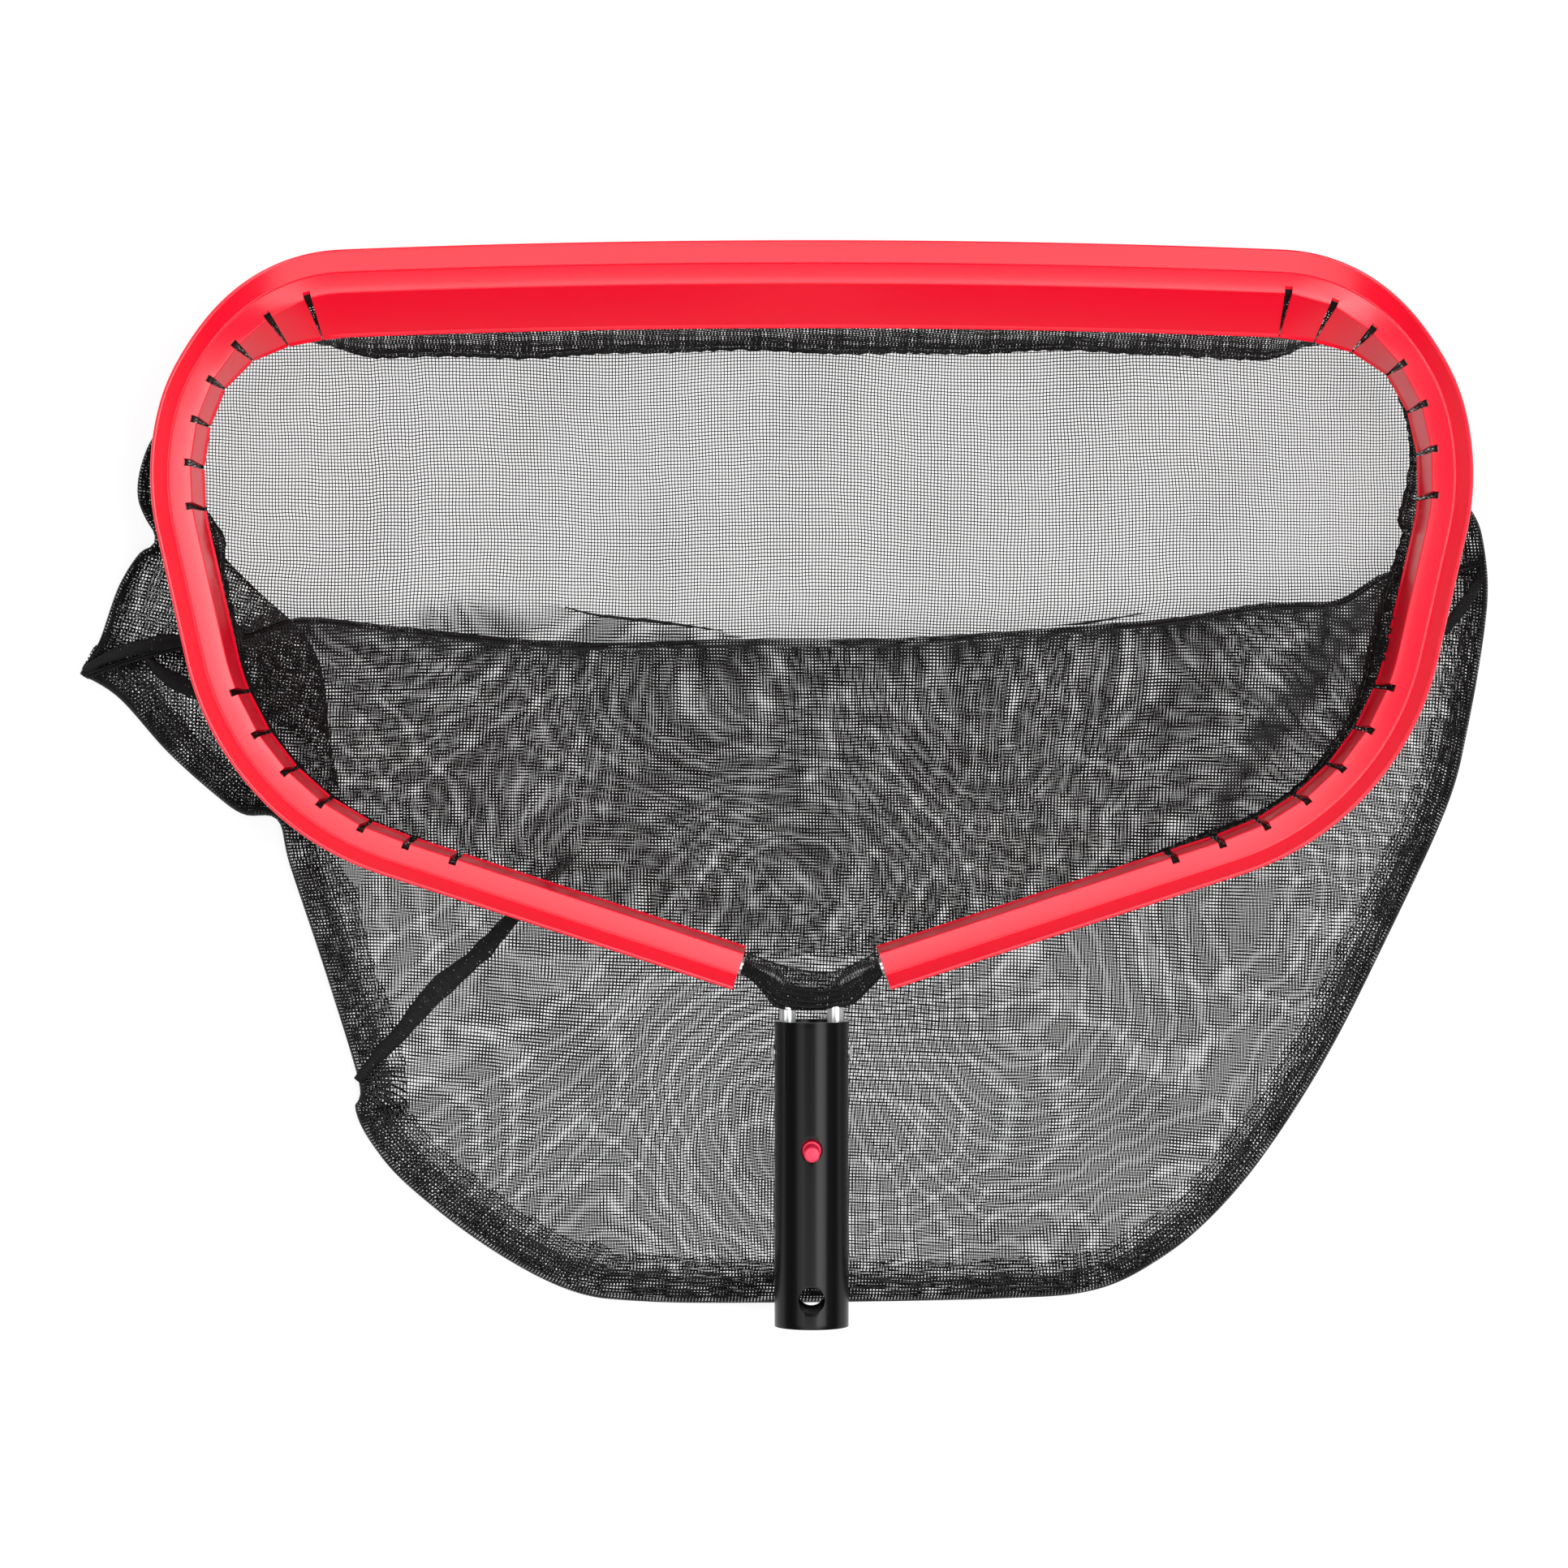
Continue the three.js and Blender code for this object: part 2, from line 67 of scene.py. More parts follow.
# Frame path: each piece of the right half is a length and a clockwise turn in degrees.
TOP_BAR = (179.4, 2.26)
UPPER_CORNER = (85.1, 74.1)
SHOULDER = (43, 26.4)
SIDE = (49.7, 0)
LOWER_CORNER = (106.1, 59.06)
ARM = (141.4, 0)
THROAT = (10.6, 0)
HANDLE_BEND = (15, -71.82)
HANDLE_LEG = (44, 0)
EDGED_PIECES = [TOP_BAR, UPPER_CORNER, SHOULDER, SIDE, LOWER_CORNER, ARM]
ROD_PIECES = EDGED_PIECES + [THROAT, HANDLE_BEND, HANDLE_LEG]
EDGED_LENGTH = sum(length for length, turn in EDGED_PIECES)
ROD_LENGTH = sum(length for length, turn in ROD_PIECES)
ROD_RADIUS = 3.175

rod_low, rod_high = box_mm("frame_rod")
ROD_Z = (rod_low.z + rod_high.z) / 2
TOP_Y = rod_high.y - ROD_RADIUS
TOP_ROLL = math.radians(33)
ROLL_FADE = (184, 246)

# Slits of each corner: the place of the first and the distance to the next, negative on the left.
SLITS_PER_CORNER = 7
SLIT_RUNS = [(183, 18.6), (-194, -17.5), (371.5, 19), (-373.5, -19)]
SLIT_WIDTH = 2.9
SLIT_LEAST_WIDTH = 0.7
SLIT_ROOT_U = -2.4
FINGER_LENGTH = 18.6
LONGEST_FLAT_FINGER = 25

tube_low, tube_high = box_mm("handle_tube")
TUBE_RADIUS = (tube_high.x - tube_low.x) / 2
TUBE_WALL = 1.6
TUBE_MOUTH_Y = tube_high.y
TUBE_END_Y = tube_low.y
BUTTON_HOLE_Y = -139.5
BUTTON_HOLE_RADIUS = 4.15
PIN_HOLE_Y = -197
PIN_HOLE_RADIUS = 5.05

LEG_SPREAD = math.radians(8.18)
BUTTON_ALONG_LEG = 45

rivet_low, rivet_high = box_mm("right_rivet")
RIVET_Y = (rivet_low.y + rivet_high.y) / 2
RIVET_HEAD_RADIUS = (rivet_high.y - rivet_low.y) / 2

# Net: square mesh of round threads. DENSE_GAIN is how much a density of 1 adds to a thread's half width.
MESH_PITCH = 1.28
THREAD = 0.318
DENSE_GAIN = 0.48
# Distances between points inside the sheets and along their edges.
SHEET_STEP = 3.2
EDGE_STEP = 3.0

# ---------------------------------------------------------------- the frame's path


def step_along(x, y, heading, length, turn):
    """The place and heading after an arc that turns clockwise, or after a straight run."""
    if turn == 0:
        return x + length * math.cos(heading), y + length * math.sin(heading), heading
    radius = length / turn
    after = heading - turn
    across = math.sin(heading) - math.sin(after)
    along = math.cos(heading) - math.cos(after)
    return x + radius * across, y - radius * along, after


def pose_at(s):
    """Place and heading of the rod's centreline at s from the middle of the top bar."""
    x, y, heading = 0, TOP_Y, 0
    left = abs(s)
    for length, turn in ROD_PIECES:
        run = min(left, length)
        x, y, heading = step_along(x, y, heading, run, math.radians(turn) * run / length)
        left -= run
    return (-x, y, -heading) if s < 0 else (x, y, heading)


def curvature_at(s):
    left = abs(s)
    for length, turn in ROD_PIECES:
        if left <= length:
            return math.radians(turn) / length
        left -= length
    return 0


def smooth(value, low, high):
    t = np.clip((np.asarray(value, float) - low) / (high - low), 0, 1)
    return t * t * (3 - 2 * t)


def roll_at(s):
    return TOP_ROLL * (1 - float(smooth(abs(s), *ROLL_FADE)))


def section_point(s, u, w):
    """A point of the section at s: u is outwards from the rod's axis and w is up."""
    x, y, heading = pose_at(s)
    roll = roll_at(s)
    out = u * math.cos(roll) + w * math.sin(roll)
    up = w * math.cos(roll) - u * math.sin(roll)
    return Vector((x - math.sin(heading) * out, y + math.cos(heading) * out, ROD_Z + up))


def beside_path(s, out, z):
    """A point at a height, out from the rod's centreline in plan."""
    x, y, heading = pose_at(s)
    return Vector((x - math.sin(heading) * out, y + math.cos(heading) * out, z))


# ---------------------------------------------------------------- mesh helpers


def add_mesh(name, verts, faces, materials, uv=None, dense=None, crease=35, closed=False):
    """Makes an object from points in millimetres. uv is in millimetres too, one pair for a vertex."""
    mesh = bpy.data.meshes.new(name)
    mesh.from_pydata([tuple(c * MM for c in v) for v in verts], [], faces)
    if uv is not None:
        layer = mesh.uv_layers.new(name="cloth")
        corner = np.empty(len(mesh.loops), int)
        mesh.loops.foreach_get("vertex_index", corner)
        layer.data.foreach_set("uv", np.asarray(uv, float)[corner].ravel())
    if dense is not None:
        attribute = mesh.attributes.new("dense", "FLOAT", "POINT")
        attribute.data.foreach_set("value", np.asarray(dense, float))
    if closed:
        work = bmesh.new()
        work.from_mesh(mesh)
        bmesh.ops.recalc_face_normals(work, faces=work.faces)
        work.to_mesh(mesh)
        work.free()
    mesh.shade_smooth()
    mesh.set_sharp_from_angle(angle=math.radians(crease))
    for material in materials:
        mesh.materials.append(material)
    made = bpy.data.objects.new(name, mesh)
    bpy.context.scene.collection.objects.link(made)
    return made


def rounded(corners, steps=4):
    """A closed outline in which each (u, w, radius) corner is rounded."""
    outline = []
    for i, (u, w, radius) in enumerate(corners):
        here = Vector((u, w))
        before = Vector(corners[i - 1][:2]) - here
        after = Vector(corners[(i + 1) % len(corners)][:2]) - here
        if radius == 0:
            outline.append(here)
            continue
        reach = radius / math.tan(before.angle(after) / 2)
        reach = min(reach, 0.45 * before.length, 0.45 * after.length)
        start = here + before.normalized() * reach
        end = here + after.normalized() * reach
        for k in range(steps + 1):
            t = k / steps
            outline.append(start * (1 - t) ** 2 + here * 2 * t * (1 - t) + end * t * t)
    return outline


def ring_faces(rows, count, closed=True):
    """Quads between rows of points, each row a loop or an open line of count points."""
    faces = []
    last = count if closed else count - 1
    for j in range(rows - 1):
        for k in range(last):
            a, b = j * count + k, j * count + (k + 1) % count
            faces.append((a, b, b + count, a + count))
    return faces


def lathe(profile, sides):
    """Turns (radius, height) points round the Z axis. A radius of 0 closes an end."""
    verts, faces, rings = [], [], []
    for radius, height in profile:
        if radius == 0:
            rings.append([len(verts)] * sides)
            verts.append((0, 0, height))
            continue
        rings.append(list(range(len(verts), len(verts) + sides)))
        for k in range(sides):
            angle = 2 * math.pi * k / sides
            verts.append((radius * math.cos(angle), radius * math.sin(angle), height))
    for lower, upper in zip(rings, rings[1:]):
        for k in range(sides):
            n = (k + 1) % sides
            corners = [lower[k], lower[n], upper[n], upper[k]]
            faces.append(tuple(dict.fromkeys(corners)))
    return verts, faces


# ---------------------------------------------------------------- materials


def node(tree, kind, inputs=None, **settings):
    """Adds a shader node. inputs maps socket names or numbers to values or to other sockets."""
    made = tree.nodes.new("ShaderNode" + kind)
    for key, value in settings.items():
        setattr(made, key, value)
    for key, value in (inputs or {}).items():
        if isinstance(value, bpy.types.NodeSocket):
            tree.links.new(value, made.inputs[key])
        else:
            made.inputs[key].default_value = value
    return made


def calc(tree, operation, *values):
    return node(tree, "Math", dict(enumerate(values)), operation=operation).outputs[0]


def new_material(name):
    material = bpy.data.materials.new(name)
    material.use_nodes = True
    tree = material.node_tree
    tree.nodes.clear()
    return material, tree


def finish_material(tree, shader):
    output = node(tree, "OutputMaterial")
    tree.links.new(shader, output.inputs["Surface"])


def stretched_noise(tree, scale, size, detail=3):
    """Noise in the object's own place, stretched by scale along x, y and z."""
    place = node(tree, "TexCoord").outputs["Object"]
    mapped = node(tree, "Mapping", {"Vector": place, "Scale": scale}).outputs[0]
    return node(tree, "TexNoise", {"Vector": mapped, "Scale": size, "Detail": detail}).outputs["Fac"]


def ramp(tree, factor, low, high):
    """A colour between two colours."""
    mix = node(tree, "Mix", {0: factor}, data_type="RGBA")
    mix.inputs[6].default_value = (*low, 1)
    mix.inputs[7].default_value = (*high, 1)
    return mix.outputs[2]


def red_plastic(name, deep, bright, roughness, lined):
    """Moulded or extruded red plastic. lined adds the fine lines that run along an extrusion."""
    material, tree = new_material(name)
    cloud = stretched_noise(tree, (1, 1, 1), 9)
    grain = stretched_noise(tree, (1, 1, 1), 900, 2)
    height = calc(tree, "MULTIPLY", grain, 0.3)
    if lined:
        cloth = node(tree, "UVMap", uv_map="cloth").outputs[0]
        lines = node(tree, "Mapping", {"Vector": cloth, "Scale": (0.004, 2.4, 1)}).outputs[0]
        streak = node(tree, "TexNoise", {"Vector": lines, "Scale": 1.6, "Detail": 4}).outputs["Fac"]
        height = calc(tree, "ADD", height, streak)
    bump = node(tree, "Bump", {"Height": height, "Strength": 0.1, "Distance": 0.0001})
    rough = calc(tree, "MULTIPLY_ADD", grain, 0.06, roughness - 0.03)
    shader = node(tree, "BsdfPrincipled", {
        "Base Color": ramp(tree, cloud, deep, bright),
        "Roughness": rough,
        "Specular IOR Level": 0.6,
        "Normal": bump.outputs[0],
    })
    finish_material(tree, shader.outputs[0])
    return material


def drawn_metal(name, colour, roughness, along):
    """Bare metal with fine lines drawn along one axis."""
    material, tree = new_material(name)
    scale = [1.0 if axis == along else 60.0 for axis in range(3)]
    lines = stretched_noise(tree, scale, 30, 4)
    bump = node(tree, "Bump", {"Height": lines, "Strength": 0.15, "Distance": 0.0001})
    rough = calc(tree, "MULTIPLY_ADD", lines, 0.2, roughness - 0.1)
    shader = node(tree, "BsdfPrincipled", {
        "Base Color": ramp(tree, lines, [c * 0.9 for c in colour], colour),
        "Metallic": 0.8,
        "Roughness": rough,
        "Normal": bump.outputs[0],
    })
    finish_material(tree, shader.outputs[0])
    return material


def anodised_black(name):
    """Black anodised tube, drawn along Y, with a satin surface."""
    material, tree = new_material(name)
    lines = stretched_noise(tree, (70, 0.6, 70), 14, 4)
    grain = stretched_noise(tree, (1, 1, 1), 700, 2)
    height = calc(tree, "ADD", calc(tree, "MULTIPLY", lines, 0.5), calc(tree, "MULTIPLY", grain, 0.3))
    bump = node(tree, "Bump", {"Height": height, "Strength": 0.12, "Distance": 0.0001})
    rough = calc(tree, "MULTIPLY_ADD", lines, 0.1, 0.2)
    shader = node(tree, "BsdfPrincipled", {
        "Base Color": ramp(tree, lines, (0.0015, 0.0015, 0.0016), (0.004, 0.004, 0.0045)),
        "Roughness": rough,
        "Specular IOR Level": 0.2,
        "Normal": bump.outputs[0],
    })
    finish_material(tree, shader.outputs[0])
    return material


def weave(tree, cloth, angle, shift, pitch, half):
    """Mask and height of a square mesh laid at an angle over the cloth's own coordinates."""
    turned = node(tree, "Mapping", {
        "Vector": cloth,
        "Location": (shift, 0.6 * shift, 0),
        "Rotation": (0, 0, math.radians(angle)),
    }).outputs[0]
    axes = node(tree, "SeparateXYZ", {0: turned})
    reach = [calc(tree, "PINGPONG", axes.outputs[i], pitch / 2) for i in range(2)]
    nearest = calc(tree, "MINIMUM", *reach)
    mask = calc(tree, "LESS_THAN", nearest, half)
    height = calc(tree, "SUBTRACT", 1.0, calc(tree, "DIVIDE", nearest, half))
    return mask, calc(tree, "MAXIMUM", height, 0.0)


def net_material(name, layers, colour):
    """Open mesh of black thread. The vertex attribute dense thickens the threads where cloth is bunched,
    and layers lists the (angle, shift) of each mesh that lies in the sheet."""
    material, tree = new_material(name)
    cloth = node(tree, "UVMap", uv_map="cloth").outputs[0]
    dense = node(tree, "Attribute", attribute_name="dense").outputs["Fac"]
    wobble = node(tree, "TexNoise", {"Vector": cloth, "Scale": 0.05, "Detail": 2}, noise_dimensions="2D")
    offset = node(tree, "VectorMath", {0: wobble.outputs["Color"], 1: (1.2, 1.2, 0)}, operation="MULTIPLY")
    strayed = node(tree, "VectorMath", {0: cloth, 1: offset.outputs[0]}, operation="ADD").outputs[0]
    half = calc(tree, "MULTIPLY_ADD", dense, DENSE_GAIN, THREAD / 2)
    mask, height = weave(tree, strayed, *layers[0], MESH_PITCH, half)
    for angle, shift in layers[1:]:
        more_mask, more_height = weave(tree, strayed, angle, shift, MESH_PITCH, half)
        mask = calc(tree, "MAXIMUM", mask, more_mask)
        height = calc(tree, "MAXIMUM", height, more_height)
    bump = node(tree, "Bump", {"Height": height, "Strength": 0.7, "Distance": 0.0002})
    thread = node(tree, "BsdfPrincipled", {
        "Base Color": ramp(tree, wobble.outputs["Fac"], [c * 0.6 for c in colour], colour),
        "Roughness": 0.42,
        "Specular IOR Level": 0.2,
        "Normal": bump.outputs[0],
    })
    clear = node(tree, "BsdfTransparent")
    shader = node(tree, "MixShader", {0: mask, 1: clear.outputs[0], 2: thread.outputs[0]})
    finish_material(tree, shader.outputs[0])
    return material


def thread_material(name):
    material, tree = new_material(name)
    twist = stretched_noise(tree, (1, 1, 1), 1500, 2)
    bump = node(tree, "Bump", {"Height": twist, "Strength": 0.6, "Distance": 0.0001})
    shader = node(tree, "BsdfPrincipled", {
        "Base Color": ramp(tree, twist, (0.006, 0.006, 0.007), (0.03, 0.03, 0.033)),
        "Roughness": 0.45,
        "Normal": bump.outputs[0],
    })
    finish_material(tree, shader.outputs[0])
    return material


def floor_material():
    """Pale studio floor that glows a little, so that the net's shadow on it stays faint."""
    material, tree = new_material("pale_floor")
    cloud = stretched_noise(tree, (1, 1, 1), 2)
    shader = node(tree, "BsdfPrincipled", {
        "Base Color": ramp(tree, cloud, (0.2, 0.2, 0.2), (0.21, 0.21, 0.21)),
        "Roughness": 0.9,
        "Specular IOR Level": 0.0,
        "Emission Color": (1, 1, 1, 1),
        "Emission Strength": 0.83,
    })
    finish_material(tree, shader.outputs[0])
    return material


RED = red_plastic("edging_red", (0.88, 0.001, 0.02), (0.95, 0.002, 0.025), 0.25, True)
BUTTON_RED = red_plastic("button_red", (0.8, 0.012, 0.06), (0.88, 0.018, 0.08), 0.4, False)
ALUMINIUM = drawn_metal("bare_aluminium", (0.86, 0.87, 0.88), 0.3, 1)
STEEL = drawn_metal("spring_steel", (0.6, 0.61, 0.62), 0.32, 1)
ANODISED = anodised_black("black_anodised")
NET = net_material("net_mesh", [(0, 0)], (0.003, 0.0031, 0.0033))
HEM = net_material("hem_mesh", [(0, 0), (9, 0.7), (-14, 0.4)], (0.003, 0.0031, 0.0034))
SEWING = thread_material("sewing_thread")



def stands_for(made, node_name, body="root"):
    """The piece rides on a body and replaces a CAD node, which is hidden."""
    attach(made, body)
    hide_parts(node_name)


# ---------------------------------------------------------------- edging

# Section from the slit's root on the channel's ceiling, round the outer wall and the lip to the
# slit's root on the crown, then down the skirt and back. Each corner is (u, w, radius).
CROWN_SLOPE = 0.2875
RIDGE = (-5.2, 3.6)
OUTER_CORNERS = [
    (-2.6, 2.9, 0),
    (2.4, 4.3, 0.6),
    (3.6, 3.0, 0.4),
    (3.6, -2.2, 0.3),
    (2.3, -3.6, 0.3),
    (2.5, -4.9, 0.3),
    (4.4, -5.5, 0.4),
    (5.2, -4.6, 0.5),
    (5.2, 4.6, 1.0),
    (9.3, 11.7, 0.5),
    (8.8, 12.6, 0.4),
    (7.8, 12.3, 0.4),
    (3.5, 5.6, 0.9),
    (2.8, 5.9, 0.5),
    (SLIT_ROOT_U, RIDGE[1] + (SLIT_ROOT_U - RIDGE[0]) * CROWN_SLOPE, 0),
]
SKIRT_FOOT_W = -21.2
FINGER_CORNERS = [
    (*RIDGE, 0.8),
    (-6.4, -19.6, 0.3),
    (-7.3, -21.0, 0.5),
    (-6.5, -21.9, 0.5),
    (-4.8, -21.2, 0.4),
    (-4.9, -19.6, 0.3),
    (-3.6, 1.8, 0.6),
]
EDGING_STEP = 2.6


def slit_places():
    return sorted(first + i * pitch for first, pitch in SLIT_RUNS for i in range(SLITS_PER_CORNER))


def slit_half_width(s, depth):
    """The slit closes towards the skirt's foot where the bend brings the fingers together."""
    roll = roll_at(s)
    inset = -(FINGER_CORNERS[1][0] * math.cos(roll) + SKIRT_FOOT_W * math.sin(roll))
    foot = max(SLIT_LEAST_WIDTH, SLIT_WIDTH - FINGER_LENGTH * curvature_at(s) * inset)
    return (SLIT_WIDTH + (foot - SLIT_WIDTH) * depth) / 2


def edging_rows(outline, outer_count):
    """Rows of points, and the numbers of the rows that end at a slit."""
    ends = [-EDGED_LENGTH, *slit_places(), EDGED_LENGTH]
    drop = RIDGE[1] - SKIRT_FOOT_W
    rows, row_at_slit = [], []
    for i, (low, high) in enumerate(zip(ends, ends[1:])):
        steps = max(4, math.ceil((high - low) / EDGING_STEP))
        short = high - low < LONGEST_FLAT_FINGER
        for j in range(steps + 1):
            row = []
            for k, (u, w) in enumerate(outline):
                depth = min(1, max(0, (RIDGE[1] - w) / drop)) if k >= outer_count else 0
                start = low + (slit_half_width(low, depth) if i > 0 else 0)
                end = high - (slit_half_width(high, depth) if i < len(ends) - 2 else 0)
                point = section_point(start + (end - start) * j / steps, u, w)
                if short and k >= outer_count:
                    flat = section_point(start, u, w).lerp(section_point(end, u, w), j / steps)
                    point = point.lerp(flat, min(1, (SLIT_ROOT_U - u) / (SLIT_ROOT_U - RIDGE[0])))
                row.append(point)
            rows.append(row)
        row_at_slit.append(len(rows) - 1)
    return rows, row_at_slit[:-1]


def edging():
    outer = rounded(OUTER_CORNERS)
    # rounded treats the list as closed, so the finger's corners are rounded between their neighbours.
    whole = rounded(OUTER_CORNERS + FINGER_CORNERS)
    outer_count = next(i for i, point in enumerate(whole) if (point - outer[-1]).length < 1e-6) + 1
    count = len(whole)
    rows, at_slit = edging_rows(whole, outer_count)
    along = [0.0]
    for a, b in zip(rows, rows[1:]):
        along.append(along[-1] + (b[0] - a[0]).length)
    around = [0.0]
    for a, b in zip(whole, whole[1:]):
        around.append(around[-1] + (b - a).length)
    verts = [point for row in rows for point in row]
    uv = [(s, t) for s in along for t in around]
    faces = []
    for j in range(len(rows) - 1):
        used = outer_count if j in at_slit else count
        for k in range(used):
            a, b = j * count + k, j * count + (k + 1) % used
            faces.append((a, b, b + count, a + count))
    finger = [outer_count - 1, *range(outer_count, count), 0]
    finger_caps = tessellate_polygon([[whole[k].to_3d() for k in finger]])
    end_caps = tessellate_polygon([[point.to_3d() for point in whole]])
    for j in at_slit:
        for base in (j * count, (j + 1) * count):
            faces += [tuple(base + finger[k] for k in triangle) for triangle in finger_caps]
    for base in (0, (len(rows) - 1) * count):
        faces += [tuple(base + k for k in triangle) for triangle in end_caps]
    made = add_mesh("edging_skin", verts, faces, [RED], uv=uv, crease=32, closed=True)
    stands_for(made, "edging")


# ---------------------------------------------------------------- rod, tube, rivets and buttons

ROD_SIDES = 28
ROD_STEP = 3.0


def frame_rod():
    steps = math.ceil(2 * ROD_LENGTH / ROD_STEP)
    verts = []
    for j in range(steps + 1):
        s = ROD_LENGTH * (2 * j / steps - 1)
        for k in range(ROD_SIDES):
            angle = 2 * math.pi * k / ROD_SIDES
            verts.append(section_point(s, ROD_RADIUS * math.cos(angle), ROD_RADIUS * math.sin(angle)))
    faces = ring_faces(steps + 1, ROD_SIDES)
    faces.append(tuple(range(ROD_SIDES)))
    faces.append(tuple(steps * ROD_SIDES + k for k in reversed(range(ROD_SIDES))))
    made = add_mesh("bent_rod", verts, faces, [ALUMINIUM], crease=50, closed=True)
    stands_for(made, "frame_rod")


TUBE_SIDES = 128
TUBE_RING_STEP = 2.4
TUBE_EDGE = 0.3
RIVET_HOLE_RADIUS = 1.9
DRILL_REACH = 30


def drill(radius, sides, centre, axis):
    """A cylinder for cutting, longer than the tube is wide."""
    profile = [(0, -DRILL_REACH), (radius, -DRILL_REACH), (radius, DRILL_REACH), (0, DRILL_REACH)]
    verts, faces = lathe(profile, sides)
    turn = Matrix.Rotation(math.radians(90), 3, "Y") if axis == "X" else Matrix.Identity(3)
    return add_mesh("drill", [turn @ Vector(v) + centre for v in verts], faces, [], closed=True)


def cut_and_bevel(target, cutters, width):
    """Cuts the drills out of the target, rounds the sharp edges and applies it all."""
    for cutter in cutters:
        modifier = target.modifiers.new("cut", "BOOLEAN")
        modifier.operation = "DIFFERENCE"
        modifier.object = cutter
        modifier.solver = "EXACT"
    bevel = target.modifiers.new("edge", "BEVEL")
    bevel.width = width * MM
    bevel.segments = 2
    bevel.angle_limit = math.radians(50)
    applied = bpy.data.meshes.new_from_object(target.evaluated_get(bpy.context.evaluated_depsgraph_get()))
    target.modifiers.clear()
    old = target.data
    target.data = applied
    bpy.data.meshes.remove(old)
    for cutter in cutters:
        bpy.data.objects.remove(cutter)


def handle_tube():
    inner, outer = TUBE_RADIUS - TUBE_WALL, TUBE_RADIUS
    rings = round((TUBE_MOUTH_Y - TUBE_END_Y) / TUBE_RING_STEP)
    heights = [TUBE_END_Y + (TUBE_MOUTH_Y - TUBE_END_Y) * i / rings for i in range(rings + 1)]
    profile = [(outer, y) for y in heights] + [(inner, y) for y in reversed(heights)]
    verts = []
    for radius, y in profile:
        for k in range(TUBE_SIDES):
            angle = 2 * math.pi * (k + 0.5) / TUBE_SIDES
            verts.append((radius * math.sin(angle), y, ROD_Z + radius * math.cos(angle)))
    faces = ring_faces(len(profile), TUBE_SIDES)
    last = (len(profile) - 1) * TUBE_SIDES
    faces += [(last + k, last + (k + 1) % TUBE_SIDES, (k + 1) % TUBE_SIDES, k) for k in range(TUBE_SIDES)]
    made = add_mesh("anodised_tube", verts, faces, [ANODISED, ALUMINIUM], closed=True)
    cutters = [
        drill(BUTTON_HOLE_RADIUS, 64, Vector((0, BUTTON_HOLE_Y, ROD_Z)), "Z"),
        drill(PIN_HOLE_RADIUS, 64, Vector((0, PIN_HOLE_Y, ROD_Z)), "Z"),
        drill(RIVET_HOLE_RADIUS, 32, Vector((0, RIVET_Y, ROD_Z)), "X"),
    ]
    cut_and_bevel(made, cutters, TUBE_EDGE)
    for face in made.data.polygons:
        at_mouth = face.center.y > (TUBE_MOUTH_Y - 0.01) * MM and face.normal.y > 0.9
        face.material_index = 1 if at_mouth else 0
    made.data.shade_smooth()
    made.data.set_sharp_from_angle(angle=math.radians(30))
    stands_for(made, "handle_tube")


RIVET_HEAD_HEIGHT = 1.3
RIVET_BORE = 1.15
RIVET_SHANK_RADIUS = 1.6
RIVET_SHANK_END = -9.2


def rivet(name, side):
    """A blind rivet's domed head round its hollow shank, on the tube's outside."""
    r = RIVET_HEAD_RADIUS
    dome = [(r * math.cos(a), 0.3 + RIVET_HEAD_HEIGHT * math.sin(a)) for a in np.linspace(0.12, 1.15, 7)]
    profile = [
        (RIVET_BORE, RIVET_SHANK_END),
        (RIVET_SHANK_RADIUS, RIVET_SHANK_END),
        (RIVET_SHANK_RADIUS, 0.25),
        (r - 0.15, 0.25),
        *dome,
        (RIVET_BORE, 1.35),
        (RIVET_BORE, RIVET_SHANK_END),
    ]
    verts, faces = lathe(profile, 40)
    turn = Matrix.Rotation(math.radians(90 * side), 3, "Y")
    place = Vector((side * TUBE_RADIUS, RIVET_Y, ROD_Z))
    points = [turn @ Vector(v) + place for v in verts]
    made = add_mesh(name + "_head", points, faces, [ALUMINIUM], closed=True)
    stands_for(made, name)


# The button's profile as (radius, height, rounding), from its tail to the top of its pin.
BUTTON_CORNERS = [
    (1.4, -1.6, 0.3),
    (1.4, 0.7, 0.1),
    (4.6, 0.7, 0.2),
    (4.6, 1.9, 0.2),
    (3.6, 1.9, 0.1),
    (3.6, 5.7, 0.45),
    (3.0, 5.9, 0.15),
    (3.0, 12.8, 0.7),
]
BUTTON_TOP = 12.88


def button(name, side):
    """A button on its spring leg: the hinge of the leg gives the place."""
    joint = next(j for j in frame["joints"] if j["name"] == name + "_press")
    corners = [(0, -1.6, 0), *BUTTON_CORNERS, (0, BUTTON_TOP, 0)]
    profile = [(max(0, p.x), p.y) for p in rounded(corners, 3)]
    verts, faces = lathe(profile, 56)
    tilt = Matrix.Rotation(LEG_SPREAD, 3, "X")
    over = Matrix.Identity(3) if side > 0 else Matrix.Rotation(math.radians(180), 3, "Y")
    pivot = Vector(joint["pos_m"]) / MM
    along = Vector((0, BUTTON_ALONG_LEG, 0))
    points = [over @ (tilt @ (Vector(v) + along)) + pivot for v in verts]
    made = add_mesh(name + "_cap", points, faces, [BUTTON_RED], crease=40, closed=True)
    stands_for(made, name, joint["child"])


def plain_nodes():
    """The clip's parts and the rivet stems stay as the CAD has them, in drawn metal."""
    for name in ("clip_bend", "front_clip_leg", "rear_clip_leg", "left_rivet_stem", "right_rivet_stem"):
        for slot in frame["nodes"][name].material_slots:
            slot.material = STEEL


# ---------------------------------------------------------------- cloth helpers


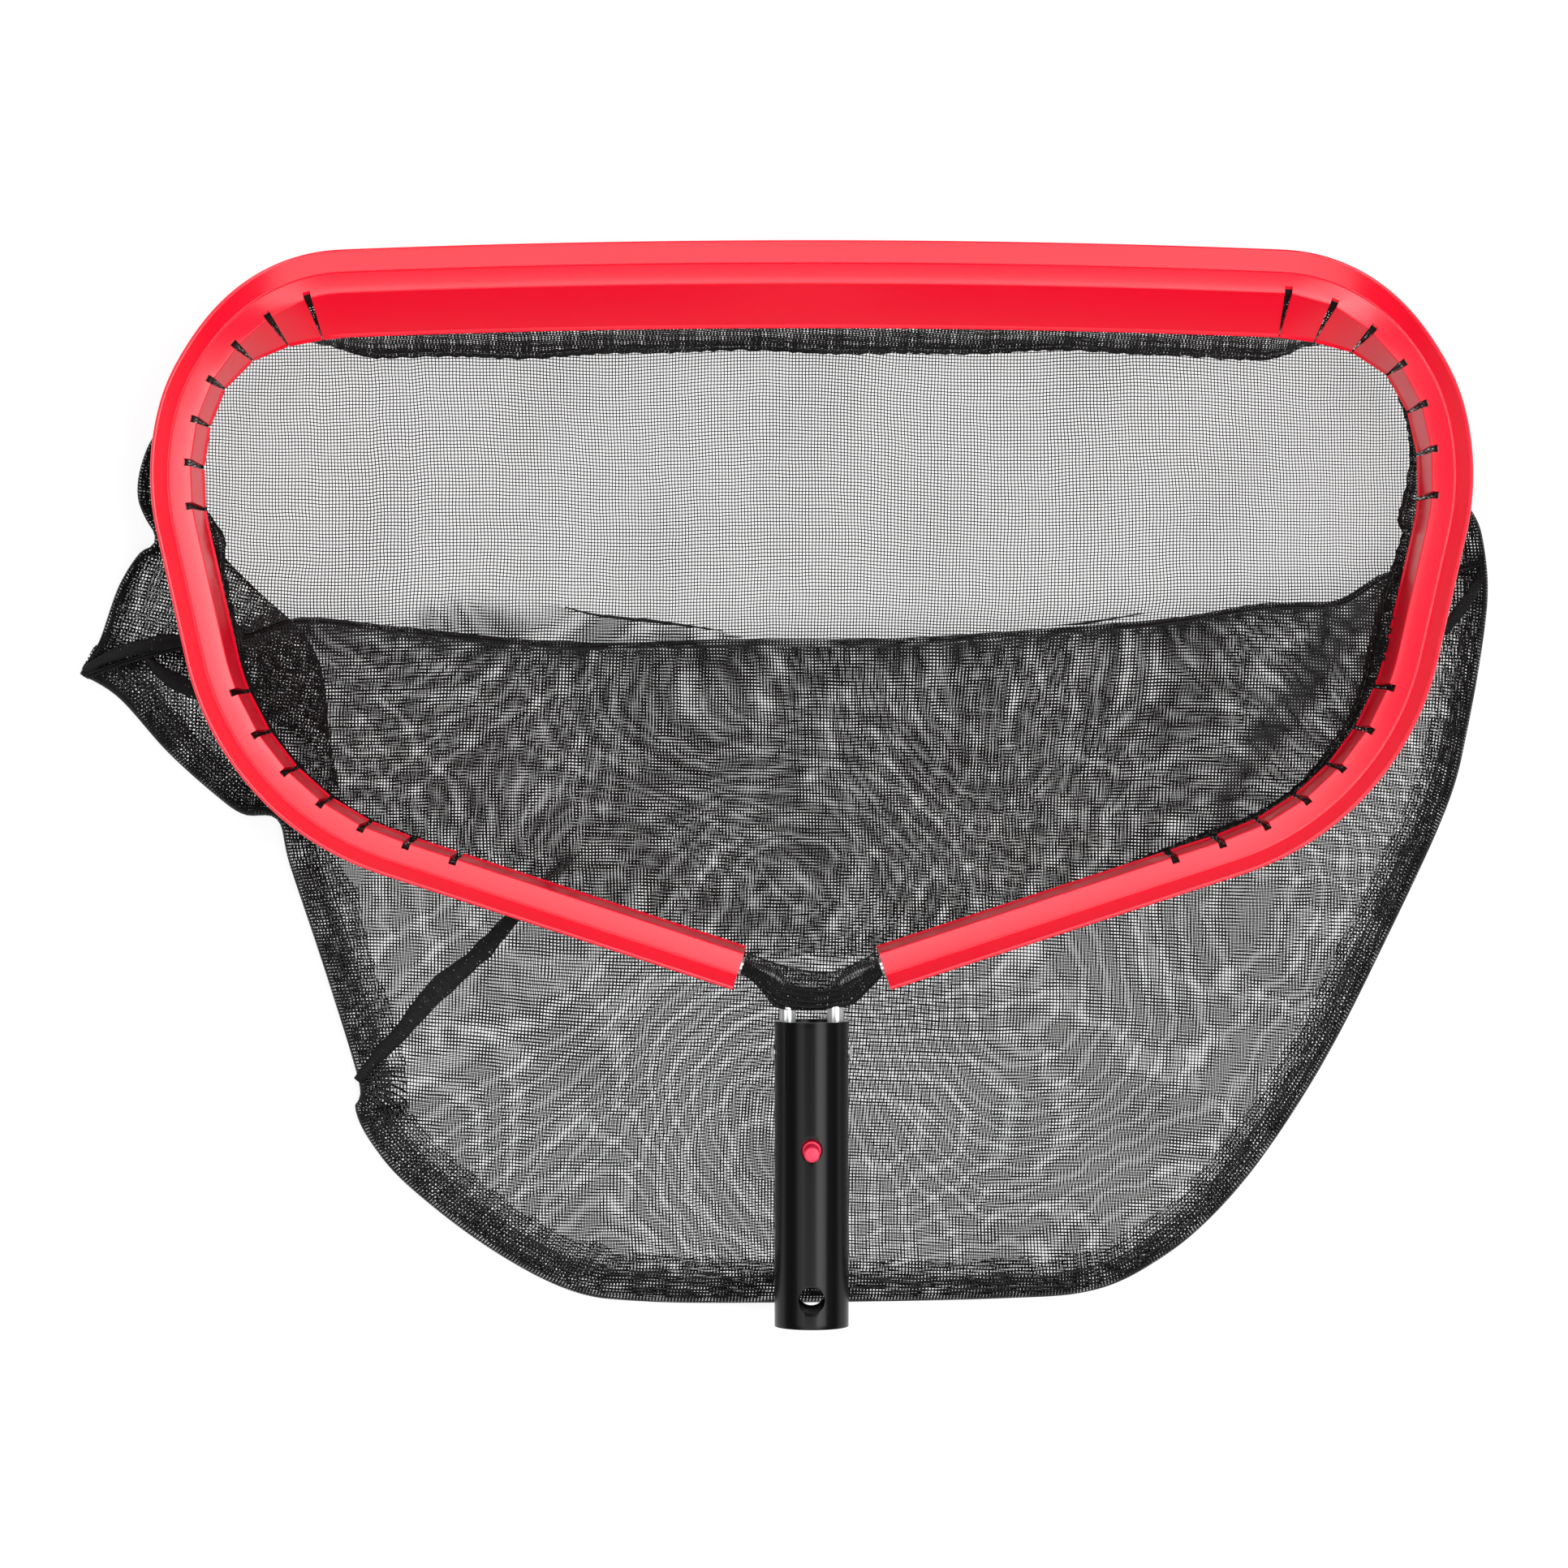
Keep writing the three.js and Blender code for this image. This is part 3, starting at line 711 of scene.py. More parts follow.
def waves(x, y, seed, length, count=7):
    """A smooth random field with waves of about the given length, roughly from -1 to 1."""
    rng = np.random.default_rng(seed)
    total = np.zeros_like(np.asarray(x, float))
    for angle, phase, spread in rng.random((count, 3)):
        k = 2 * math.pi / length * (0.6 + 0.8 * spread)
        turn = math.pi * angle
        total = total + np.cos(k * (x * math.cos(turn) + y * math.sin(turn)) + 2 * math.pi * phase)
    return total * math.sqrt(2 / count) / 2


def smooth_line(points, step):
    """Points at even steps along a smooth curve (Catmull-Rom) through the given ones."""
    p = np.array([points[0], *points, points[-1]], float)
    fine = []
    for a, b, c, d in zip(p, p[1:], p[2:], p[3:]):
        t = np.linspace(0, 1, 16, endpoint=False)[:, None]
        square = 2 * a - 5 * b + 4 * c - d
        cube = 3 * b - a - 3 * c + d
        fine.append(0.5 * (2 * b + (c - a) * t + square * t**2 + cube * t**3))
    fine = np.vstack([*fine, p[-1:]])
    run = np.concatenate([[0], np.cumsum(np.linalg.norm(np.diff(fine, axis=0), axis=1))])
    even = np.linspace(0, run[-1], max(2, round(run[-1] / step) + 1))
    return np.column_stack([np.interp(even, run, fine[:, i]) for i in range(fine.shape[1])])


def right_of(line):
    """Unit vectors to the right of a line's own direction, one for each of its points."""
    along = np.gradient(line, axis=0)
    along /= np.linalg.norm(along, axis=1)[:, None]
    return np.column_stack([along[:, 1], -along[:, 0]])


def line_distance(x, y, line):
    """Distance from each point to a polyline, and how far along it the nearest place is (0 to 1)."""
    x, y = np.asarray(x, float), np.asarray(y, float)
    best, where = np.full(x.shape, 1e9), np.zeros(x.shape)
    for i, ((ax, ay), (bx, by)) in enumerate(zip(line, line[1:])):
        dx, dy = bx - ax, by - ay
        t = np.clip(((x - ax) * dx + (y - ay) * dy) / (dx * dx + dy * dy), 0, 1)
        gap = np.hypot(x - ax - t * dx, y - ay - t * dy)
        nearer = gap < best
        best = np.where(nearer, gap, best)
        where = np.where(nearer, (i + t) / (len(line) - 1), where)
    return best, where


def band(x, y, line, width, fade=0.15):
    """1 on a line, falling smoothly to 0 at its width, and fading out at the line's ends."""
    gap, where = line_distance(x, y, line)
    ends = smooth(where, 0, fade) * (1 - smooth(where, 1 - fade, 1))
    return np.exp(-((gap / width) ** 2)) * ends


def inside(x, y, outline):
    """Whether each point is inside a closed outline."""
    found = np.zeros(np.shape(x), bool)
    for (ax, ay), (bx, by) in zip(outline, np.roll(outline, -1, axis=0)):
        crosses = (ay > y) != (by > y)
        with np.errstate(divide="ignore", invalid="ignore"):
            found ^= crosses & (x < (bx - ax) * (y - ay) / (by - ay) + ax)
    return found


FIELD_STEP = 1.0
FIELD_X = np.arange(-300, 300 + FIELD_STEP, FIELD_STEP)
FIELD_Y = np.arange(-230, 230 + FIELD_STEP, FIELD_STEP)


def cloth_coordinates(x, y, height, angle, seed, stray):
    """Where each point is on the flat cloth: lengths measured over the folds, turned and a little skewed."""
    gx, gy = np.meshgrid(FIELD_X, FIELD_Y)
    z = height(gx, gy)
    slope_y, slope_x = np.gradient(z, FIELD_STEP)
    run_x = np.cumsum(np.sqrt(1 + slope_x**2), axis=1) * FIELD_STEP
    run_y = np.cumsum(np.sqrt(1 + slope_y**2), axis=0) * FIELD_STEP
    middle_x, middle_y = len(FIELD_X) // 2, len(FIELD_Y) // 2
    run_x -= run_x[:, middle_x : middle_x + 1]
    run_y -= run_y[middle_y : middle_y + 1, :]
    column = np.clip((x - FIELD_X[0]) / FIELD_STEP, 0, len(FIELD_X) - 1.001)
    row = np.clip((y - FIELD_Y[0]) / FIELD_STEP, 0, len(FIELD_Y) - 1.001)
    c, r = column.astype(int), row.astype(int)
    fc, fr = column - c, row - r

    def sample(field):
        low = field[r, c] * (1 - fc) + field[r, c + 1] * fc
        high = field[r + 1, c] * (1 - fc) + field[r + 1, c + 1] * fc
        return low * (1 - fr) + high * fr

    u = sample(run_x) + stray * waves(x, y, seed, 190)
    v = sample(run_y) + stray * waves(x, y, seed + 1, 190)
    turn = math.radians(angle)
    return np.column_stack([u * math.cos(turn) - v * math.sin(turn), u * math.sin(turn) + v * math.cos(turn)])


def fill_outline(outline, step):
    """Triangles that fill an outline in plan, with points about step apart. Gives points and faces."""
    low, high = outline.min(axis=0), outline.max(axis=0)
    gx, gy = np.meshgrid(np.arange(low[0], high[0], step), np.arange(low[1], high[1], step * 0.87))
    gx = gx + (np.arange(gx.shape[0]) % 2)[:, None] * step / 2
    gx, gy = gx.ravel(), gy.ravel()
    closed = np.vstack([outline, outline[:1]])
    keep = inside(gx, gy, outline)
    gx, gy = gx[keep], gy[keep]
    keep = line_distance(gx, gy, closed)[0] > 0.55 * step
    points = [Vector(p) for p in outline] + [Vector(p) for p in zip(gx[keep], gy[keep])]
    edges = [(i, (i + 1) % len(outline)) for i in range(len(outline))]
    made = delaunay_2d_cdt(points, edges, [], 1, 1e-6)
    return np.array([tuple(p) for p in made[0]]), [tuple(f) for f in made[2]]


def declare_sheet(made, replaces):
    """Rides the sheet on the root and hides the CAD node that it replaces, if there is one."""
    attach(made, "root")
    if replaces:
        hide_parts(replaces)


# ---------------------------------------------------------------- the bag's outlines in plan

# How far the hem shows inside the skirt's foot, as (s, distance). Below 0 the skirt hides it.
HEM_SHOWN = [
    (-605, -2), (-490, -2), (-470, 0.4), (-380, 1), (-335, 1.5), (-322, 2.5), (-316, 5), (-311, 5.5),
    (-303, 1.5), (-297, -1), (-204, -1.5), (-196, 0.5), (-186, 4), (-172, 7.5), (-110, 8.6), (-40, 8),
    (30, 8.6), (110, 7), (160, 8), (178, 7), (190, 4.5), (199, 1), (206, -0.6), (235, -0.6), (250, 0.6),
    (277, 2.6), (300, 5.2), (306, 5.6), (309, 2.6), (322, 4), (335, 5.5), (357, 6), (385, 5), (400, 4),
    (420, 2), (470, 1.8), (500, 0), (520, -2), (605, -2),
]
MOUTH_LEFT_S = -296
MOUTH_RIGHT_S = 301

# The closed edge of the bag from the right of the frame round to the tip of the left flap.
BAG_EDGE = [
    (252, 113), (258.5, 107), (263, 95), (264.5, 69), (257, 22), (248, -11), (223, -65), (201, -108),
    (178, -144), (158, -168), (137, -185.5), (111, -198), (73, -201.4), (-12, -203), (-66, -202.5),
    (-95, -198), (-127, -181), (-158, -157), (-172.5, -140), (-178.5, -127), (-177, -117), (-190, -74),
    (-204, -32), (-209, -14), (-222, -12), (-233, -4.5), (-252, 12.6), (-271, 33.7), (-286, 43),
]
FLAP_TOP = [
    (-286, 43), (-281.5, 51), (-278, 57), (-271, 77), (-263, 90), (-257.5, 93.5), (-257, 98), (-260, 103),
    (-263, 110), (-263.5, 117), (-262, 125), (-258.5, 134), (-252, 143),
]

# Where the back panel folds back on itself, from the flap's tip to the right of the frame.
FOLD_LINE = [
    (-283, 43.5), (-268, 49), (-250, 54), (-221, 58.5), (-199, 65), (-160, 61.5), (-95, 55.5), (-30, 56.5),
    (32, 57), (95, 61), (142, 65), (175, 70.5), (199, 71), (208, 73), (216, 78), (224, 82.5), (236, 82),
    (247, 84), (262, 88),
]

# The edge of the cloth that is tucked over on the left.
TUCK_EDGE = [
    (-236, 103), (-231, 91), (-215.5, 75), (-202, 63), (-196, 56), (-191, 44), (-188.5, 24), (-186, 7),
    (-181, -14),
]


def hem_reach(s):
    """How far in from the rod's centreline the hem's foot is."""
    places, shown = zip(*HEM_SHOWN)
    extra = float(np.interp(s, places, shown))
    roll = roll_at(s)
    skirt = -(FINGER_CORNERS[2][0] * math.cos(roll) + SKIRT_FOOT_W * math.sin(roll))
    ripple = 0.5 * math.sin(s / 23) + 0.4 * math.sin(s / 9.3 + 1)
    return skirt + extra + ripple * min(1, max(0, extra / 4))


def hem_foot_line(start, end, step, inset=0.0):
    """Points in plan along the hem's foot, between two places on the frame."""
    count = max(2, round(abs(end - start) / step))
    places = [float(s) for s in np.linspace(start, end, count + 1)]
    return np.array([beside_path(s, -hem_reach(s) - inset, 0)[:2] for s in places])


def edge_line(points, inset):
    """A smooth line moved to its right by inset."""
    line = smooth_line(points, EDGE_STEP)
    return line + right_of(line) * inset


# ---------------------------------------------------------------- heights of the sheets

FRONT_PROFILE = np.array([
    (-210, 1.6), (-60, 1.6), (40, 1.8), (57, 2.0), (63, 3.4), (70, 7.2), (80, 8.6), (105, 7.6), (140, 8.2),
    (165, 9.6), (180, 11.0),
])


def front_height(x, y):
    """The front panel lies on the ground, and above the fold it hangs a little from the hem."""
    low = np.interp(y, FRONT_PROFILE[:, 0], FRONT_PROFILE[:, 1])
    wave = 0.9 * waves(x, y, 11, 95) + 0.35 * waves(x, y, 12, 34)
    hung = smooth(y, 66, 90)
    pucker = 2.2 * band(x, y, [(-196, 104), (-172, 96), (-150, 84)], 7)
    pucker = pucker + 1.5 * band(x, y, [(-196, 86), (-168, 92)], 5)
    return low + wave * (0.45 + 1.0 * hung) + pucker


def back_lower_height(x, y):
    rise = 1.2 * smooth(y, 20, 56)
    return 4.1 + rise + 0.75 * waves(x, y, 21, 80) + 0.4 * waves(x, y, 22, 30)


# Soft diagonal folds of the upper run, each with its width and how much it bunches the cloth.
DEEP_FOLDS = [
    (
        [(222, 84), (214, 74), (212, 64), (203, 52), (195, 38), (188, 27), (177, 17), (168, 6), (161, -6),
         (156, -18)],
        4.0,
        0.55,
    ),
    ([(204, 70), (199, 60), (191, 45), (185, 34), (176, 24), (166, 12)], 3.2, 0.42),
    ([(224, 76), (219, 64), (215, 50), (211, 34), (206, 21), (199, 8)], 3.0, 0.45),
    ([(-115, -50), (-107, -42), (-102, -36), (-95, -31), (-84, -29)], 2.6, 0.6),
]


def back_upper_height(x, y):
    wave = 1.1 * waves(x, y, 31, 110) + 0.5 * waves(x, y, 32, 42)
    folds = sum(band(x, y, line, width) for line, width, _ in DEEP_FOLDS)
    return 9.6 + wave + 2.2 * folds


def tuck_height(x, y):
    return 6.6 + 0.9 * waves(x, y, 41, 60) + 0.3 * waves(x, y, 42, 22)


# ---------------------------------------------------------------- sheets


def net_sheet(name, outline, height, dense, angle, seed, stray, material):
    points, faces = fill_outline(outline, SHEET_STEP)
    x, y = points[:, 0], points[:, 1]
    uv = cloth_coordinates(x, y, height, angle, seed, stray)
    verts = np.column_stack([x, y, height(x, y)])
    return add_mesh(name, verts, faces, [material], uv=uv, dense=dense(x, y), crease=180)


def front_dense(x, y):
    """The cloth is steep just above the fold."""
    gap = line_distance(x, y, FOLD_LINE)[0]
    return 0.06 * np.exp(-((gap / 9) ** 2)) + 0.03 * np.clip(waves(x, y, 15, 70), 0, 1)


# The pleat of the front panel just above the fold.
PLEAT_EDGE = [
    (-168, 70), (-150, 75.5), (-132, 75), (-112, 72), (-94, 68.6), (-80, 65.2), (-60, 63), (-42, 60.4),
    (-26, 57.5),
]


def front_pleat():
    edge = smooth_line(PLEAT_EDGE, EDGE_STEP)
    outline = np.vstack([edge, [(-60, 53), (-110, 52), (-150, 56), (-170, 60)]])

    def height(x, y):
        return front_height(x, y) + 0.8

    def dense(x, y):
        gap = line_distance(x, y, PLEAT_EDGE)[0]
        soft = (1 - smooth(gap, 0, 11)) * (1 - smooth(x, -112, -92))
        return -0.33 * np.clip(soft + 1 - smooth(x, -168, -140), 0, 1)

    made = net_sheet("net_front_pleat", outline, height, dense, 1.6, 55, 2.0, NET)
    declare_sheet(made, None)


def net_front():
    mouth = hem_foot_line(MOUTH_LEFT_S, MOUTH_RIGHT_S, SHEET_STEP, -3)
    edge = edge_line(BAG_EDGE, 1.6)
    flap = edge_line(FLAP_TOP, 1.2)
    outline = np.vstack([mouth, edge, flap[1:]])
    made = net_sheet("net_front_cloth", outline, front_height, front_dense, 0.4, 51, 3.2, NET)
    declare_sheet(made, "net_front_panel")


FOLD_RADIUS = 2.9
FOLD_ARC_STEPS = 8
FOLD_ENTERS_X = -224
FOLD_LEAVES_X = 236
# Where the back panel's own rim on the frame ends.
BACK_RIGHT_S = 322
BACK_LEFT_S = -332


def back_dense_upper(x, y):
    gap = line_distance(x, y, FOLD_LINE)[0]
    near = 0.55 * np.exp(-((gap / 4.5) ** 1.5)) + 0.1 * np.exp(-((gap / 16) ** 2))
    folds = sum(bunched * band(x, y, line, width, 0.1) for line, width, bunched in DEEP_FOLDS)
    return near + folds + 0.035 * np.clip(waves(x, y, 35, 60), 0, 1)


def back_dense_lower(x, y):
    fold = 0.6 * np.exp(-((line_distance(x, y, FOLD_LINE)[0] / 3.5) ** 2)) * (1 - smooth(x, -235, -222))
    return fold + 0.03 * np.clip(waves(x, y, 25, 50), 0, 1)


def join_cloths(name, parts, material):
    """Joins parts, each (verts, faces, uv, dense), into one sheet, welded where they meet."""
    verts, faces, uv, dense = [], [], [], []
    for part_verts, part_faces, part_uv, part_dense in parts:
        base = sum(len(v) for v in verts)
        verts.append(part_verts)
        faces += [tuple(base + i for i in face) for face in part_faces]
        uv.append(part_uv)
        dense.append(part_dense)
    points, uv, dense = np.vstack(verts), np.vstack(uv), np.concatenate(dense)
    made = add_mesh(name, points, faces, [material], uv=uv, dense=dense, crease=180)
    work = bmesh.new()
    work.from_mesh(made.data)
    bmesh.ops.remove_doubles(work, verts=work.verts, dist=1e-6)
    bmesh.ops.recalc_face_normals(work, faces=work.faces)
    work.to_mesh(made.data)
    work.free()
    return made


def cloth_part(outline, height, dense, angle, seed, stray, lift=None):
    points, faces = fill_outline(outline, SHEET_STEP)
    x, y = points[:, 0], points[:, 1]
    z = height(x, y) if lift is None else lift(x, y, height(x, y))
    return np.column_stack([x, y, z]), faces, cloth_coordinates(x, y, height, angle, seed, stray), dense(x, y)


def fold_heights(fold, lower, upper):
    """The runs meet the roll at heights that are a roll's width apart."""
    x, y = fold[:, 0], fold[:, 1]
    middle = (lower(x, y) + upper(x, y)) / 2
    return middle - FOLD_RADIUS, middle + FOLD_RADIUS


def net_back():
    fold = edge_line(FOLD_LINE, FOLD_RADIUS)
    low_z, high_z = fold_heights(fold, back_lower_height, back_upper_height)

    def meet(target_z):
        """Brings a run's height to the roll's at the fold line."""
        def lift(x, y, z):
            gap, where = line_distance(x, y, fold)
            at = np.interp(where, np.linspace(0, 1, len(fold)), target_z)
            pull = 1 - smooth(gap, 0, 14)
            return z + (at - z) * pull
        return lift

    edge = edge_line(BAG_EDGE, 2.0)
    start = int(np.argmin(np.hypot(*(edge - fold[-1]).T)))
    lower_outline = np.vstack([fold, edge[start + 1 : -1]])
    lower = cloth_part(lower_outline, back_lower_height, back_dense_lower, 2.6, 61, 5.0, meet(low_z))
    inner = (fold[:, 0] > FOLD_ENTERS_X) & (fold[:, 0] < FOLD_LEAVES_X)
    rim = hem_foot_line(BACK_RIGHT_S, EDGED_LENGTH, SHEET_STEP, -2.5)
    other_rim = hem_foot_line(-EDGED_LENGTH, BACK_LEFT_S, SHEET_STEP, -2.5)
    upper_outline = np.vstack([fold[inner], rim, other_rim])
    upper = cloth_part(upper_outline, back_upper_height, back_dense_upper, -1.8, 71, 5.0, meet(high_z))
    roll_verts, roll_uv = [], []
    out = -right_of(fold)
    for i in range(len(fold)):
        for k in range(FOLD_ARC_STEPS + 1):
            angle = math.pi * k / FOLD_ARC_STEPS
            reach = FOLD_RADIUS * math.sin(angle)
            rise = (high_z[i] - low_z[i]) * (1 - math.cos(angle)) / 2
            roll_verts.append((*(fold[i] + out[i] * reach), low_z[i] + rise))
            roll_uv.append((i * EDGE_STEP, FOLD_RADIUS * angle))
    count = FOLD_ARC_STEPS + 1
    roll = (roll_verts, ring_faces(len(fold), count, closed=False), roll_uv, np.full(len(roll_verts), 0.35))
    made = join_cloths("net_back_cloth", [lower, upper, roll], NET)
    declare_sheet(made, "net_back_panel")


# Where the tucked cloth is folded again, from the flap's tip to the tucked edge.
TUCK_INNER_FOLD = [(-283, 43.5), (-262, 46), (-240, 40), (-222, 31), (-206, 22), (-194, 14.5), (-185, 8)]
TUCK_FOOT = [(-283, 43.5), (-262, 44), (-246, 36), (-226, 14), (-206, -4), (-181, -14)]


def tuck_dense(x, y):
    knot = 0.8 * band(x, y, [(-238, 106), (-234, 97), (-232, 86)], 4.0, 0.1)
    crease = 0.5 * band(x, y, [(-228, 55), (-214, 63), (-200, 66)], 3.5, 0.15)
    rim = 0.16 * np.exp(-((line_distance(x, y, FLAP_TOP)[0] / 4.0) ** 2))
    edge = 0.3 * np.exp(-((line_distance(x, y, TUCK_EDGE)[0] / 1.6) ** 2))
    return knot + crease + rim + edge


def side_tuck():
    """The cloth turned over at the left: one layer down to the foot and one to the inner fold."""
    flap = edge_line(FLAP_TOP, 1.8)
    tuck = smooth_line(TUCK_EDGE, EDGE_STEP)
    foot = smooth_line(TUCK_FOOT, EDGE_STEP)[::-1]
    outline = np.vstack([tuck, foot[1:-1], flap])
    made = net_sheet("net_side_tuck", outline, tuck_height, tuck_dense, 11, 81, 4.0, NET)
    declare_sheet(made, None)
    inner = smooth_line(TUCK_INNER_FOLD, EDGE_STEP)[::-1]
    end = int(np.argmin(np.hypot(*(tuck - inner[0]).T)))
    outline = np.vstack([tuck[:end], inner[:-1], edge_line(FLAP_TOP, 2.2)])

    def height(x, y):
        return tuck_height(x, y) + 0.9

    def dense(x, y):
        return tuck_dense(x, y) + 0.14 * (1 - smooth(y, 54, 64)) * smooth(x, -250, -235)

    made = net_sheet("net_side_tuck_fold", outline, height, dense, 24, 84, 3.0, NET)
    declare_sheet(made, None)


# Narrow pleats: points, height, and width at the start, the middle and the end.
PLEATS = [
    ([(-96, 69), (-83, 65.8), (-58, 63), (-34, 59.6)], 9.3, (0.5, 1.5, 0.4)),
    ([(90, 61.5), (108, 63), (132, 67)], 9.0, (0.3, 1.0, 0.3)),
    (
        [(-108, -43), (-116, -51.5), (-129.6, -66.4), (-145, -79.5), (-153, -88.3), (-161, -98),
         (-168.5, -105.4), (-177, -116)],
        7.4,
        (4.6, 8.6, 4.2),
    ),
    ([(-283.5, 44), (-275, 49), (-262, 53.5), (-248, 55.5), (-232, 56), (-222, 60)], 9.6, (3.0, 6.4, 5.0)),
    ([(-262, 52), (-254, 44), (-244, 38), (-232, 33)], 9.0, (1.0, 7.0, 6.5)),
    ([(262, 85), (259, 77), (254, 69), (246, 59)], 8.6, (3.0, 4.6, 4.6)),
]
PLEAT_STEP = 1.4
PLEAT_COLUMNS = 7
PLEAT_RISE = 0.9
PLEAT_DENSE = 0.42
PLEAT_FLAT_WIDTH = 11


def pleats():
    """Tight creases, each a narrow strip that is arched across its width."""
    verts, faces, uv, dense = [], [], [], []
    area, length = 0, 0
    for k, (points, z, widths) in enumerate(PLEATS):
        line = smooth_line(points, PLEAT_STEP)
        across = right_of(line)
        base = len(verts)
        for i, place in enumerate(line):
            width = float(np.interp(i / (len(line) - 1), (0, 0.5, 1), widths))
            width *= 1 + 0.12 * float(waves(*place, 101 + k, 11))
            for share in np.linspace(-0.5, 0.5, PLEAT_COLUMNS):
                verts.append((*(place + across[i] * share * width), z + PLEAT_RISE * (1 - 4 * share * share)))
                uv.append((i * PLEAT_STEP, share * width * 2 + 40 * k))
                dense.append(PLEAT_DENSE)
            area += PLEAT_STEP * width
            length += PLEAT_STEP
        strip = ring_faces(len(line), PLEAT_COLUMNS, closed=False)
        faces += [tuple(base + i for i in face) for face in strip]
    made = add_mesh("net_pleats", verts, faces, [HEM], uv=uv, dense=dense, crease=180)
    share = 1.1 * area / (length * PLEAT_FLAT_WIDTH)
    declare_sheet(made, None)


# The seam's section as (share of the inset, height, density), from the lower run's inner edge round
# the bag's edge to the upper run's inner edge.
SEAM_LOWER_SECTION = [
    (1.0, 0.7, 0.0), (0.7, 0.6, 0.0), (0.35, 0.6, 0.04), (0.12, 0.7, 0.25), (0.03, 1.3, 0.5),
]
SEAM_UPPER_SECTION = [
    (0.0, 2.8, 0.55), (0.02, 4.6, 0.55), (0.1, 5.8, 0.42), (0.22, 6.4, 0.24), (0.4, 6.5, 0.2),
    (0.6, 6.3, 0.19), (0.85, 6.2, 0.22), (1.0, 6.0, 0.28),
]
SEAM_LOWER_REACH = 1.45
SEAM_EDGE_Z = 3
SEAM_STEP = 2.4


def seam_strip(name, points, width, seed):
    """A doubled band along the bag's closed edge, folded at the edge. width is at the start and end."""
    line = smooth_line(points, SEAM_STEP)
    inward = right_of(line)
    section = [(share * SEAM_LOWER_REACH, z, thick) for share, z, thick in SEAM_LOWER_SECTION]
    section += SEAM_UPPER_SECTION
    verts, uv, dense = [], [], []
    for i, (x, y) in enumerate(line):
        wide = width[0] + (width[1] - width[0]) * float(smooth(i / len(line), 0.45, 0.65))
        jag = 1 + 0.07 * float(waves(x, y, seed, 26)) + 0.05 * float(waves(x, y, seed + 1, 9))
        swell = 0.5 * float(waves(x, y, seed + 2, 30))
        clump = 0.06 * float(waves(x, y, seed + 3, 14))
        for share, z, thick in section:
            inset = share * wide * jag
            lift = swell * share if z > SEAM_EDGE_Z else 0
            verts.append((*(line[i] + inward[i] * inset), z + lift))
            uv.append((i * SEAM_STEP + 0.2 * inset, z * 3 + inset * (1 if z > SEAM_EDGE_Z else -1)))
            dense.append(max(0, thick + clump))
    faces = ring_faces(len(line), len(section), closed=False)
    made = add_mesh(name, verts, faces, [NET], uv=uv, dense=dense, crease=180)
    return made, len(line) * SEAM_STEP


def seams():
    made, length = seam_strip("seam_band", BAG_EDGE, (10, 13.5), 91)
    declare_sheet(made, "seam_binding")
    made, length = seam_strip("flap_seam_band", FLAP_TOP, (4, 5), 95)
    declare_sheet(made, None)


HEM_ROWS = 12
HEM_STEP = 2.4
HEM_DROP = 34
# The hem's loop round the rod inside the edging's channel, as (u, w).
HEM_LOOP = [(1.2, 3.45), (-0.6, 3.3), (-2.1, 2.6), (-3.1, 1.4), (-3.4, 0), (-3.35, -1.6)]
# The (u, w) that the hanging hem bends towards before it turns in below the skirt's foot.
HEM_BULGE = (-4.6, -26)


def mouth_hem():
    """The folded hem: it wraps the rod, hangs inside the skirt and turns in to meet the panels."""
    count = round(2 * EDGED_LENGTH / HEM_STEP)
    verts, uv, dense = [], [], []
    for i in range(count + 1):
        s = EDGED_LENGTH * (2 * i / count - 1)
        for k, (u, w) in enumerate(HEM_LOOP):
            verts.append(section_point(s, u, w))
            uv.append((s, -2.0 * (len(HEM_LOOP) - k)))
            dense.append(0.6)
        top = section_point(s, -3.2, -4.2)
        skirt = section_point(s, *HEM_BULGE)
        heading = pose_at(s)[2]
        foot = beside_path(s, -hem_reach(s), 9.6 + 0.5 * math.sin(s / 17))
        for j in range(HEM_ROWS + 1):
            t = j / HEM_ROWS
            point = top * (1 - t) ** 2 + skirt * 2 * t * (1 - t) + foot * t * t
            pleat = 0.3 * math.sin(s * 0.9 + 2 * math.sin(s / 7)) * t
            verts.append(point + Vector((-math.sin(heading), math.cos(heading), 0.6)) * pleat)
            uv.append((s, HEM_DROP * t))
            bunched = 0.1 * math.sin(9 * t + 0.4 * math.sin(s / 5))
            dense.append(0.14 + 0.25 * float(smooth(t, 0.93, 1)) + bunched)
    rows = len(HEM_LOOP) + HEM_ROWS + 1
    faces = ring_faces(count + 1, rows, closed=False)
    made = add_mesh("hem_cloth", verts, faces, [HEM], uv=uv, dense=dense, crease=180)
    declare_sheet(made, "mouth_hem")


THROAT_COLUMNS = 80
THROAT_ROWS = 40
# The sleeve over the rod's bends, in plan, from the left arm to the right arm.
SLEEVE_TOP = [(-24.5, -64.4), (-20, -66.6), (-8, -70.4), (2, -72), (10, -71.6), (20, -67.2), (24.5, -64.4)]
SLEEVE_FOOT = [
    (-27.5, -73), (-23, -75.5), (-18, -81), (-13, -86), (0, -87), (8, -86), (15.5, -84.8), (22, -79),
    (27.5, -73.4),
]
SLEEVE_STEP = 0.2


